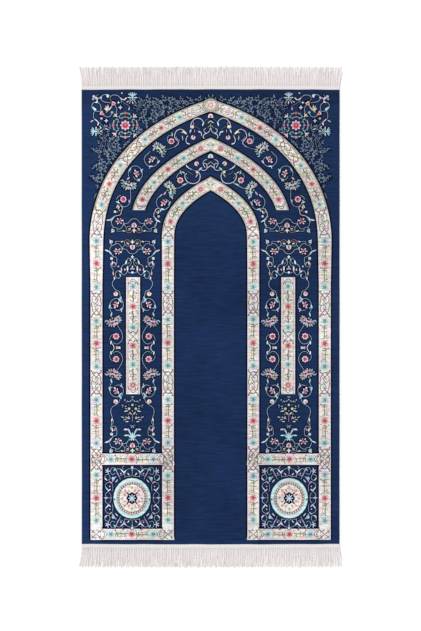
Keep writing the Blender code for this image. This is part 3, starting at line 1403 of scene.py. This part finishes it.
# One flat net of the cloth's outline and every patch, where each face has the yarn of the topmost patch.
# A second net keeps the borders between yarns and the grid, and takes its yarns from the first.
weaveNet = {"straight": 0.03, "smallest": 0.02, "reach": 1e-4, "columns": 25, "rows": 45}
# The fields that are a little darker: yarn, left, low, right, high
fields = (("endNavy", -400, 561, 400, 700), ("panelNavy", -300, -590, 300, 200))


def weave():
    outline = [(x / mm, y / mm) for x, y in clothOutline()]
    shrink = (1 - cloth["rim"] * 2 / cloth["width"], 1 - cloth["rim"] * 2 / cloth["length"])
    points = [(x * shrink[0], y * shrink[1]) for x, y in outline]
    outlines = [list(range(len(points)))]
    patches = [("navy", points[:])]
    grounds = [(yarn, [(left, low), (right, low), (right, high), (left, high)])
               for yarn, left, low, right, high in fields]
    for yarn, patchPoints in grounds + weaving["ground"] + weaving["shadow"] + weaving["motif"]:
        area = sum(a[0] * b[1] - b[0] * a[1] for a, b in zip(patchPoints, patchPoints[1:] + patchPoints[:1]))
        if abs(area) < weaveNet["smallest"]:
            continue
        outlines.append(list(range(len(points), len(points) + len(patchPoints)))[::1 if area > 0 else -1])
        points += patchPoints
        patches.append((yarn, patchPoints))
    boxes = [(min(x for x, _ in p), max(x for x, _ in p), min(y for _, y in p), max(y for _, y in p))
             for _, p in patches]
    verts, _, faces, _, _, faceSources = delaunay_2d_cdt(points, [], outlines, 0, weaveNet["reach"])
    verts = [tuple(vert) for vert in verts]
    kept = []
    for face, sources in zip(faces, faceSources):
        if 0 in sources:
            x, y = [sum(verts[corner][axis] for corner in face) / 3 for axis in (0, 1)]
            over = [s for s in sources if boxes[s][0] <= x <= boxes[s][1] and boxes[s][2] <= y <= boxes[s][3]]
            kept.append((face, patches[max(over, default=0)][0]))
    near = yarnBorders(verts, kept)
    corners = {corner: place for place, corner in enumerate(near)}
    borders = [(corners[a], corners[b]) for a in near for b in near[a] if a < b]
    pitch = cloth["gridPitch"] / mm
    columns, rows = weaveNet["columns"], weaveNet["rows"]
    grid = [(column * pitch + (row % 2) * pitch / 2, row * pitch)
            for column in range(-columns, columns + 1) for row in range(-rows, rows + 1)]
    looseVerts, _, looseFaces, _, _, _ = delaunay_2d_cdt(
        [verts[corner] for corner in near] + grid, borders, [], 0, weaveNet["reach"])
    looseVerts = [tuple(vert) for vert in looseVerts]
    dyedNet = BVHTree.FromPolygons([(x, y, 0) for x, y in verts], [face for face, _ in kept])
    final = []
    for face in looseFaces:
        x, y = [sum(looseVerts[corner][axis] for corner in face) / 3 for axis in (0, 1)]
        found = dyedNet.ray_cast((x, y, 1), (0, 0, -1))[2]
        if found is not None:
            final.append((list(face), kept[found][1]))
    print("woven net:", len(kept), "faces, then", len(final))
    return looseVerts, final


def newMaterial(name, colour, roughness):
    material = bpy.data.materials.new(name)
    material.use_nodes = True
    graph = Graph(material.node_tree)
    shader = material.node_tree.nodes["Principled BSDF"]
    shader.inputs["Base Color"].default_value = (*colour, 1)
    shader.inputs["Roughness"].default_value = roughness
    shader.inputs["IOR"].default_value = 1.45
    shader.inputs["Specular IOR Level"].default_value = 0.12
    return material, graph, shader


# Noise in Object coordinates, cells per metre in each direction
def grain(graph, place, scale, detail=2.0, roughness=0.5):
    mapped = graph.make("ShaderNodeMapping", None, {"Vector": place, "Scale": scale})
    return graph.make("ShaderNodeTexNoise", {"noise_dimensions": "3D"},
                      {"Vector": mapped, "Scale": 1.0, "Detail": detail, "Roughness": roughness})


def mixed(graph, share, one, other):
    return graph.make("ShaderNodeMix", {"data_type": "RGBA"}, {"Factor": share, 6: one, 7: other}, 2)


# Links the shaded colour, a roughness that varies with the fibre, and a bump of this height.
def finishSurface(graph, shader, look, colour, shade, fibre, height):
    shaded = graph.make("ShaderNodeVectorMath", {"operation": "SCALE"}, {0: colour, "Scale": shade})
    roughness = look["rough"] + fibre * look["fibreRough"]
    bump = graph.make("ShaderNodeBump", None,
                      {"Height": height, "Strength": look["bump"], "Distance": look["bumpDepth"]})
    for wire, name in ((shaded, "Base Color"), (roughness, "Roughness"), (bump, "Normal")):
        graph.tree.links.new(wire.socket, shader.inputs[name])


pile = {
    "tuft": 900,
    "tuftDepth": 0.3,
    "rows": (20, 190, 1),
    "rowDepth": 1.3,
    "patch": 5,
    "patchDepth": 0.8,
    "tint": 0.44,
    "tintScale": 62,
    # painted shade that darkens the pile towards the right side, and painted light that brightens it near the
    # left side
    "paintedSideShade": 0.18,
    "paintedLightFrom": -0.17,
    "paintedLightGain": 1.1,
    "rough": 0.9,
    "fibreRough": 0.16,
    "tuftRelief": 0.7,
    "rowRelief": 0.3,
    "bump": 0.5,
    "bumpDepth": 0.0006,
    "sheen": 0.03,
    "sheenRough": 0.4,
}
tendrils = {
    "bend": (0.014, 0.014, 0),
    "bendScale": 70,
    "scale": 92,
    "width": (0.03, 0.11),
    "share": 0.6,
    "yarn": (0.24, 0.2, 0.17, 1),
}
leaflets = {
    "scale": 150,
    "size": 0.36,
    "rim": 0.14,
    "share": 0.75,
    "tints": ((0, (0.80, 0.50, 0.50)), (0.3, (0.62, 0.66, 0.52)), (0.5, (0.83, 0.86, 0.80)),
              (0.68, (0.48, 0.42, 0.38)), (0.84, (0.90, 0.89, 0.92))),
}


# Small tendrils and leaflets on the grounds of the pale bands, as dense as the yarn's fourth channel says
def fineTendrils(graph, place, yarn, amount):
    bent = graph.make("ShaderNodeTexNoise", None,
                      {"Vector": place, "Scale": tendrils["bendScale"], "Detail": 1}, "Color")
    moved = graph.make("ShaderNodeVectorMath", {"operation": "MULTIPLY_ADD"},
                       {0: bent, 1: tendrils["bend"], 2: place})

    def voronoi(feature, scale, out):
        return graph.make("ShaderNodeTexVoronoi", {"feature": feature, "voronoi_dimensions": "2D"},
                          {"Vector": moved, "Scale": scale}, out)

    vines = voronoi("DISTANCE_TO_EDGE", tendrils["scale"], "Distance")
    core, edge = tendrils["width"]
    vine = graph.make("ShaderNodeMapRange", None, {0: vines, 1: core, 2: edge, 3: 1.0, 4: 0.0})
    near = voronoi("F1", leaflets["scale"], "Distance")
    tint = voronoi("F1", leaflets["scale"], "Color")
    share = graph.make("ShaderNodeSeparateColor", None, {0: tint}, 0)
    colour = graph.make("ShaderNodeValToRGB", {"stops": leaflets["tints"]}, {0: share})
    core = leaflets["size"] - leaflets["rim"]
    leaflet = graph.make("ShaderNodeMapRange", None, {0: near, 1: leaflets["size"], 2: core, 3: 0.0, 4: 1.0})
    leafy = mixed(graph, leaflet * amount * leaflets["share"], yarn, colour)
    return mixed(graph, vine * amount * tendrils["share"], leafy, tendrils["yarn"])


# Cut pile: every tuft a little lighter or darker, in faint rows across the rug, with painted light that
# brightens the left side and painted shade that darkens the right side
def makePile():
    material, graph, shader = newMaterial("wovenPile", dyed("navy"), 0.94)
    place = graph.place()
    filled = fineTendrils(graph, place, graph.attribute("yarn", "Color"), graph.attribute("yarn", "Alpha"))
    tint = graph.make("ShaderNodeTexNoise", None,
                      {"Vector": place, "Scale": pile["tintScale"], "Detail": 2}, "Color")
    gain = graph.make("ShaderNodeVectorMath", {"operation": "MULTIPLY_ADD"},
                      {0: tint, 1: (pile["tint"],) * 3, 2: (1 - pile["tint"] / 2,) * 3})
    filled = graph.make("ShaderNodeVectorMath", {"operation": "MULTIPLY"}, {0: filled, 1: gain})
    tufts = grain(graph, place, (pile["tuft"],) * 3, 1.5, 0.6)
    rows = grain(graph, place, pile["rows"], 3, 0.6)
    patches = grain(graph, place, (pile["patch"],) * 3, 3)
    across = graph.make("ShaderNodeSeparateXYZ", None, {0: place}, "X")
    # Painted light and shade: the colour is scaled lighter at the left side and darker towards the right
    past = pile["paintedLightFrom"] - across
    paintedLight = past.math("MAXIMUM", past, 0) * pile["paintedLightGain"]  # painted light, brighter towards the left side
    shade = (1 + (tufts - 0.5) * pile["tuftDepth"] + (rows - 0.5) * pile["rowDepth"]
             + (patches - 0.5) * pile["patchDepth"] - across * pile["paintedSideShade"] + paintedLight)
    height = tufts * pile["tuftRelief"] + rows * pile["rowRelief"]
    finishSurface(graph, shader, pile, filled, shade, tufts - 0.5, height)
    shader.inputs["Sheen Weight"].default_value = pile["sheen"]
    shader.inputs["Sheen Roughness"].default_value = pile["sheenRough"]
    return material


# A plain weave in Object coordinates: two sets of threads that pass over and under each other
def plainWeave(graph, place, pitch):
    parts = [graph.make("ShaderNodeSeparateXYZ", None, {0: place}, axis) for axis in ("X", "Y")]
    across, along = [(part * (math.pi / pitch)).call("SINE") for part in parts]
    over = across * along
    return over.call("ABSOLUTE") ** 0.5 * 0.6 + over.over(0) * 0.4


backing = {
    "pitch": 0.0021,
    "fibre": (500, 1400, 500),
    "worn": (9, 9, 9),
    "shade": 0.62,
    "wornShade": 0.3,
    "rough": 0.82,
    "fibreRough": 0.14,
    "fibreRelief": 0.4,
    "bump": 0.6,
    "bumpDepth": 0.0004,
}


def makeBacking():
    material, graph, shader = newMaterial("backingWeave", dyed("sand"), 0.9)
    place = graph.place()
    threads = plainWeave(graph, place, backing["pitch"])
    fibre = grain(graph, place, backing["fibre"], 2)
    worn = grain(graph, place, backing["worn"], 3)
    colour = mixed(graph, threads * 0.5 + fibre * 0.5, (*dyed("steel"), 1), (*dyed("sand"), 1))
    shade = backing["shade"] + worn * backing["wornShade"]
    finishSurface(graph, shader, backing, colour, shade, fibre, threads + fibre * backing["fibreRelief"])
    return material


yarns.update({
    "fringeLight": (250, 244, 241),
    # the darker fringe colour, both the threads' duller random tone and their painted shade
    "fringeDull": (202, 187, 200),
    "headingRib": (244, 243, 241),
    # the heading's darker colour, painted shade in the gaps between its ribs
    "headingGap": (216, 211, 207),
})


fringeLook = {
    "fibre": (1700, 240, 1700),
    "shade": 0.93,
    "fibreShade": 0.14,
    "rough": 0.8,
    "fibreRough": 0.16,
    "bump": 0.45,
    "bumpDepth": 0.0003,
    "sheen": 0.1,
}


def makeFringeYarn():
    material, graph, shader = newMaterial("fringeYarn", dyed("fringeLight"), 0.88)
    fibre = grain(graph, graph.place(), fringeLook["fibre"], 2.5, 0.6)
    colour = mixed(graph, graph.attribute("shade"), (*dyed("fringeDull"), 1), (*dyed("fringeLight"), 1))
    shade = fringeLook["shade"] + fibre * fringeLook["fibreShade"]
    finishSurface(graph, shader, fringeLook, colour, shade, fibre, fibre)
    shader.inputs["Sheen Weight"].default_value = fringeLook["sheen"]
    return material


headingLook = {
    "pitch": 0.00095,
    "fibre": (900, 900, 900),
    "ribShare": 0.75,
    "threadShare": 0.25,
    "shade": 0.95,
    "fibreShade": 0.1,
    "rough": 0.8,
    "fibreRough": 0.15,
    "threadRelief": 0.7,
    "fibreRelief": 0.3,
    "bump": 0.5,
    "bumpDepth": 0.0003,
}


def makeHeadingWeave():
    material, graph, shader = newMaterial("headingWeave", dyed("headingRib"), 0.85)
    place = graph.place()
    threads = plainWeave(graph, place, headingLook["pitch"])
    fibre = grain(graph, place, headingLook["fibre"], 2)
    # Painted shade: darker in the gaps between the ribs, at the seam and the outer edge, and a little where
    # each thread dips under
    depth = graph.attribute("shade") * headingLook["ribShare"] + threads * headingLook["threadShare"]
    colour = mixed(graph, depth, (*dyed("headingGap"), 1), (*dyed("headingRib"), 1))
    shade = headingLook["shade"] + fibre * headingLook["fibreShade"]
    height = threads * headingLook["threadRelief"] + fibre * headingLook["fibreRelief"]
    finishSurface(graph, shader, headingLook, colour, shade, fibre, height)
    return material


def addMesh(name, verts, faces, materials):
    data = bpy.data.meshes.new(name)
    data.from_pydata(verts, [], faces)
    for material in materials:
        data.materials.append(material)
    piece = bpy.data.objects.new(name, data)
    scene.collection.objects.link(piece)
    return piece


# Small waves of the lying cloth, which fade towards its edges
def lift(x, y):
    waves = sum(share * math.sin(across * x + along * y + start)
                for across, along, start, share in cloth["waves"])
    waves /= sum(wave[-1] for wave in cloth["waves"])
    inside = min(cloth["width"] / 2 - abs(x), cloth["length"] / 2 - abs(y))
    return cloth["undulation"] * (waves - 1) * min(1, inside / cloth["stillEdge"])


rimProfile = ((0.71, 0.29), (1.0, 1.0), (1.0, cloth["thickness"] / cloth["rim"]))  # out and down, in rims
bakeMap = {"margin": 0.006, "pileWidth": 0.66, "backStart": 0.67, "backWidth": 0.32}


def makeCloth(materials):
    net, kept = weave()
    used = sorted({vert for face, _ in kept for vert in face})
    order = {vert: place for place, vert in enumerate(used)}
    flat = [(net[vert][0] * mm, net[vert][1] * mm) for vert in used]
    faces = [[order[vert] for vert in face] for face, _ in kept]
    faceYarns = [yarn for _, yarn in kept]
    sides = {(a, b) for face in faces for a, b in zip(face, face[1:] + face[:1])}
    following = {a: b for a, b in sides if (b, a) not in sides}
    rim = [min(following)]
    while following[rim[-1]] != rim[0]:
        rim.append(following[rim[-1]])
    verts = [(x, y, cloth["thickness"] + lift(x, y)) for x, y in flat]
    rings = [rim]
    inward = cloth["rim"]
    for out, drop in rimProfile:
        growX, growY = [1 + 2 * inward * out / (cloth[side] - 2 * inward) for side in ("width", "length")]
        height = cloth["thickness"] - inward * drop
        rings.append(range(len(verts), len(verts) + len(rim)))
        verts += [(flat[vert][0] * growX, flat[vert][1] * growY, height) for vert in rim]
    for upper, lower in zip(rings, rings[1:]):
        for place in range(len(rim)):
            near = place - 1
            faces.append([upper[near], lower[near], lower[place], upper[place]])
            faceYarns.append("navy")
    underside = len(faces)
    faces.append(list(rings[-1])[::-1])
    faceYarns.append("sand")
    piece = addMesh("wovenCloth", verts, faces, materials)
    data = piece.data
    data.polygons[underside].material_index = 1
    colours = {name: (*dyed(name), fineFill.get(name, 0)) for name in yarns}
    tint = data.attributes.new("yarn", "FLOAT_COLOR", "CORNER")
    corners = [value for face, yarn in zip(faces, faceYarns) for value in colours[yarn] * len(face)]
    tint.data.foreach_set("color", corners)
    room = (cloth["width"] + bakeMap["margin"], cloth["length"] + bakeMap["margin"])
    bake = data.uv_layers.new(name="OFBake")
    for polygon in data.polygons:
        for corner in polygon.loop_indices:
            x, y, z = data.vertices[data.loops[corner].vertex_index].co
            onPile = polygon.material_index == 0
            stretch = 1 + (cloth["thickness"] - z) / room[0] if onPile else 1
            u, v = x * stretch / room[0] + 0.5, y * stretch / room[1] + 0.5
            bake.data[corner].uv = (u * bakeMap["pileWidth"] if onPile
                                    else bakeMap["backStart"] + u * bakeMap["backWidth"], v)
    print("cloth:", len(data.polygons), "faces")
    return piece


# Heading strips: woven ribs along the cloth's end, each thread passing over and under, with painted shade in
# the gaps between the ribs and along the seam and the outer edge
heading = {
    "seam": 0.0003,
    "depth": 0.0095,
    "thickness": 0.0024,
    "overhang": 0.0008,
    "ribs": 5,
    "ribSteps": 4,
    "columnPitch": 0.00125,
    "relief": 0.00042,
    "shift": 0.00022,
    "edgeDrop": 0.0007,
    "edgeEase": 0.6,
    "wander": 0.00012,
    # painted shade at the seam, in the gaps between the ribs, and on the outer edge
    "seamShade": 0.6,
    "gapShade": 0.3,
    "rimShade": 0.5,
}


def makeHeading(name, end, material):
    halfWidth = cloth["width"] / 2 + heading["overhang"]
    columns = round(2 * halfWidth / heading["columnPitch"])
    steps = heading["ribs"] * heading["ribSteps"]
    ease = heading["edgeEase"]
    verts, shades = [], []
    for column in range(columns + 1):
        x = -halfWidth + 2 * halfWidth * column / columns
        inner = endEdge(x) + heading["seam"]
        verts.append((x, end * inner, 0))
        shades.append(heading["seamShade"])
        for step in range(steps + 1):
            rib = math.sin(math.pi * step / heading["ribSteps"]) ** 2
            over = math.sin(math.pi * (column / 2 + step // heading["ribSteps"]))
            side = min(1, column / 2, (columns - column) / 2,
                       (step + ease) / (1 + ease), (steps - step + ease) / (1 + ease))
            fall = heading["relief"] * (1 - rib) + heading["shift"] * (1 - over) / 2
            fall += heading["edgeDrop"] * (1 - side)
            wander = heading["wander"] * math.sin(0.9 * column) if 0 < step < steps else 0
            out = inner + heading["depth"] * step / steps + wander
            verts.append((x, end * out, heading["thickness"] - fall))
            shades.append(heading["gapShade"] + (1 - heading["gapShade"]) * rib)
        verts.append((x, end * (inner + heading["depth"]), 0))
        shades.append(heading["rimShade"])
    row = steps + 3
    faces = []
    for column in range(columns):
        for step in range(row):
            a, b = column * row + step, column * row + (step + 1) % row
            faces.append([a, b, b + row, a + row][::end])
    faces.append(list(range(row))[::-end])
    faces.append(list(range(columns * row, columns * row + row))[::end])
    piece = addMesh(name, verts, faces, [material])
    shade = piece.data.attributes.new("shade", "FLOAT", "POINT")
    shade.data.foreach_set("value", shades)
    for polygon in piece.data.polygons:
        polygon.use_smooth = True
    return piece


# Fringe: each lock is a group of soft threads that lie on the floor and lean outwards near the corners
fringe = {
    "locks": 112,
    "threads": 5,
    "length": 0.0505,
    "unevenness": 0.0016,
    "threadRadius": 0.00070,
    "spread": 0.00128,
    "flare": 0.0088,
    "flareReach": 0.022,
    "sway": 0.00032,
    "drift": 0.0007,
    "wave": 0.00028,
    "waveTurn": (5, 9),
    "rise": 0.0005,
    "riseTurn": (4, 8),
    "gather": 0.12,
    "tuck": 0.0012,  # how far the roots reach into the heading
    "lengthChange": (-0.0012, 0.0008),
    "underShorter": (0.004, 0.034),
    "underThinner": 0.18,
    # painted shade: how much darker the under threads are painted, and how much darker every thread is
    # painted near its root
    "underPaintedShade": 0.5,
    "tone": (0.78, 1.06),
    "rootShade": 0.2,
    "underRootShade": 0.6,
    "taper": 0.45,
    "steps": 13,
    "sides": 6,
}
fringeSockets = {"Locks": "Int", "Threads": "Int", "Length": "Float", "Radius": "Float", "Spread": "Float",
                 "End": "Float"}


# The last thread of each lock lies between two locks, under the others, is shorter, and is painted darker as
# painted shade between the locks. Every thread is painted darker near its root, as painted shade where it
# leaves the heading.
def makeFringeTree(material):
    tree = bpy.data.node_groups.new("fringeThreads", "GeometryNodeTree")
    for name, kind in fringeSockets.items():
        tree.interface.new_socket(name, in_out="INPUT", socket_type="NodeSocket" + kind)
    tree.interface.new_socket("Fringe", in_out="OUTPUT", socket_type="NodeSocketGeometry")
    graph = Graph(tree)
    given = {name: graph.make("NodeGroupInput", None, None, name) for name in fringeSockets}
    straight = graph.make("GeometryNodeCurvePrimitiveLine", None, {"Start": (0, 0, 0), "End": (0, 1, 0)})
    stepped = graph.make("GeometryNodeResampleCurve", None, {"Curve": straight, "Count": fringe["steps"]})
    roots = graph.make("GeometryNodePoints", None, {"Count": given["Locks"] * given["Threads"]})
    lines = graph.make("GeometryNodeInstanceOnPoints", None, {"Points": roots, "Instance": stepped})
    lines = graph.make("GeometryNodeRealizeInstances", None, {0: lines})
    strand = graph.make("GeometryNodeCurveOfPoint", None, None, "Curve Index") + 0
    part = graph.make("GeometryNodeSplineParameter", None, None, "Factor") + 0
    lock = (strand / given["Threads"]).call("FLOOR")
    member = strand - lock * given["Threads"]

    def chance(low, high, seed):
        return graph.make("FunctionNodeRandomValue", {"data_type": "FLOAT"},
                          {2: low, 3: high, "ID": strand, "Seed": seed}, 1)

    # across the rug, where the root, the lean, the sway and the length are those of the solid's lock
    halfWidth = cloth["width"] / 2 + heading["overhang"]
    lockPitch = 2 * halfWidth / fringe["locks"]
    root = (lock + 0.5) * lockPitch - halfWidth
    seed = root * 12989.8 + given["End"] * 37.7
    across = root * (2 / cloth["width"])
    fromCorner = (across.call("ABSOLUTE") - 1) * (cloth["width"] / 2 / fringe["flareReach"])
    lean = across.call("SIGN") * fromCorner.call("EXPONENT")
    under = member.over(fringe["threads"] - 1.5)
    spread = (member - 1.5) * given["Spread"] * (1 - part * fringe["gather"]) * (1 - under)
    spread += under * (lockPitch / 2)
    drift = chance(-fringe["drift"], fringe["drift"], 3) * part ** 2
    turn = 6.28
    wave = (part * chance(*fringe["waveTurn"], 4) + chance(0, turn, 5)).call("SINE") * fringe["wave"] * part
    sway = (seed + part * 2.3).call("SINE") * part * fringe["sway"]
    x = root + lean * part ** 1.6 * fringe["flare"] + sway + spread + drift + wave
    # out of the heading
    uneven = (seed * 1.7).call("SINE") * 0.6 + (seed * 0.13).call("SINE") * 0.4
    change = chance(*fringe["lengthChange"], 6) - under * chance(*fringe["underShorter"], 7)
    length = given["Length"] + uneven * fringe["unevenness"] + change
    endOfHeading = cloth["length"] / 2 - cloth["endBow"] * across ** 2 + heading["seam"] + heading["depth"]
    y = given["End"] * (endOfHeading - fringe["tuck"] + (length + fringe["tuck"]) * part)
    # off the floor
    rise = (part * chance(*fringe["riseTurn"], 8) + chance(0, turn, 9)).call("SINE") * 0.5 + 0.5
    z = given["Radius"] * 1.02 + rise * fringe["rise"] * (1 - under) + (1 - part) ** 4 * 0.0003
    place = graph.make("ShaderNodeCombineXYZ", None, {0: x, 1: y, 2: z})
    lines = graph.make("GeometryNodeSetPosition", None, {"Geometry": lines, "Position": place})
    # the thread's own random tone, less painted shade for the under threads and near the roots
    nearRoot = (1 - part) ** 5
    tone = (chance(*fringe["tone"], 10) - under * fringe["underPaintedShade"]
            - nearRoot * (under * fringe["underRootShade"] + fringe["rootShade"]))
    lines = graph.make("GeometryNodeStoreNamedAttribute", {"data_type": "FLOAT", "domain": "POINT"},
                       {"Geometry": lines, "Name": "shade", "Value": tone})
    profile = graph.make("GeometryNodeCurvePrimitiveCircle", {"mode": "RADIUS"},
                         {"Resolution": fringe["sides"], "Radius": 1.0})
    thickness = given["Radius"] * (1 - part ** 6 * fringe["taper"]) * (1 - under * fringe["underThinner"])
    tubes = graph.make("GeometryNodeCurveToMesh", None,
                       {"Curve": lines, "Profile Curve": profile, "Scale": thickness, "Fill Caps": True})
    tubes = graph.make("GeometryNodeRealizeInstances", None, {0: tubes})
    tubes = graph.make("GeometryNodeSetMaterial", None, {"Geometry": tubes, "Material": material})
    output = tree.nodes.new("NodeGroupOutput")
    tree.links.new(tubes.socket, output.inputs[0])
    return tree


def makeFringe(name, end, tree):
    carrier = bpy.data.objects.new(name + "Carrier", bpy.data.meshes.new(name + "Carrier"))
    scene.collection.objects.link(carrier)
    modifier = carrier.modifiers.new("threads", "NODES")
    modifier.node_group = tree
    given = {"Locks": fringe["locks"], "Threads": fringe["threads"], "Length": fringe["length"],
             "Radius": fringe["threadRadius"], "Spread": fringe["spread"], "End": float(end)}
    for item in tree.interface.items_tree:
        if item.in_out == "INPUT":
            modifier[item.identifier] = given[item.name]
    made = carrier.evaluated_get(bpy.context.evaluated_depsgraph_get())
    data = bpy.data.meshes.new_from_object(made)
    bpy.data.objects.remove(carrier)
    data.name = name
    piece = bpy.data.objects.new(name, data)
    scene.collection.objects.link(piece)
    for polygon in data.polygons:
        polygon.use_smooth = True
    print(name + ":", len(data.polygons), "faces")
    return piece


rug = makeCloth([makePile(), makeBacking()])
headingWeave = makeHeadingWeave()
archHeading = makeHeading("archHeading", 1, headingWeave)
footHeading = makeHeading("footHeading", -1, headingWeave)
fringeTree = makeFringeTree(makeFringeYarn())
archFringe = makeFringe("archFringe", 1, fringeTree)
footFringe = makeFringe("footFringe", -1, fringeTree)
print("pieces made")

for piece in (rug, archHeading, footHeading, archFringe, footFringe):
    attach(piece, "root")
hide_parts("rug_cloth")
for piece, node in ((archHeading, "fringe_arch_end"), (archFringe, "fringe_arch_end"),
                    (footHeading, "fringe_foot_end"), (footFringe, "fringe_foot_end")):
    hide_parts(node)

# The view: straight down from above the middle, and a plain pale floor under soft light
photo = {"rows": 631, "rowSize": 2.636}  # the picture's height in pixels, and the millimetres in each
studio = {
    "pictureHeight": photo["rows"] * photo["rowSize"] * mm,
    "lens": 85,
    "sensor": 36,
    "middle": (-0.0003, 0.0036),
    "floor": 14,
    "floorDrop": 0.0002,
    "sky": 0.62,
    "sun": 2.1,
    "sunPlace": (-1.6, 1.9, 3.6),
    "sunAngle": 50,
}


def makeStudio():
    half = studio["floor"] / 2
    corners = [(-half, -half), (half, -half), (half, half), (-half, half)]
    material, graph, shader = newMaterial("paleFloor", (0.88, 0.88, 0.88), 0.9)
    shader.inputs["Specular IOR Level"].default_value = 0
    floor = addMesh("floor", [(x, y, -studio["floorDrop"]) for x, y in corners], [[0, 1, 2, 3]], [material])
    world = bpy.data.worlds.new("softRoom")
    scene.world = world
    world.use_nodes = True
    world.node_tree.nodes["Background"].inputs["Color"].default_value = (1, 1, 1, 1)
    world.node_tree.nodes["Background"].inputs["Strength"].default_value = studio["sky"]
    lamp = bpy.data.lights.new("broadLight", "SUN")
    lamp.energy = studio["sun"]
    lamp.angle = math.radians(studio["sunAngle"])
    light = bpy.data.objects.new("broadLight", lamp)
    light.location = studio["sunPlace"]
    light.rotation_euler = light.location.to_track_quat("Z", "Y").to_euler()
    scene.collection.objects.link(light)
    lens = bpy.data.cameras.new("overhead")
    lens.lens = studio["lens"]
    lens.sensor_width = studio["sensor"]
    camera = bpy.data.objects.new("overhead", lens)
    height = studio["pictureHeight"] * studio["lens"] / studio["sensor"] + cloth["thickness"]
    camera.location = (*studio["middle"], height)
    scene.collection.objects.link(camera)
    scene.camera = camera
    scene.view_settings.view_transform = "Standard"


makeStudio()
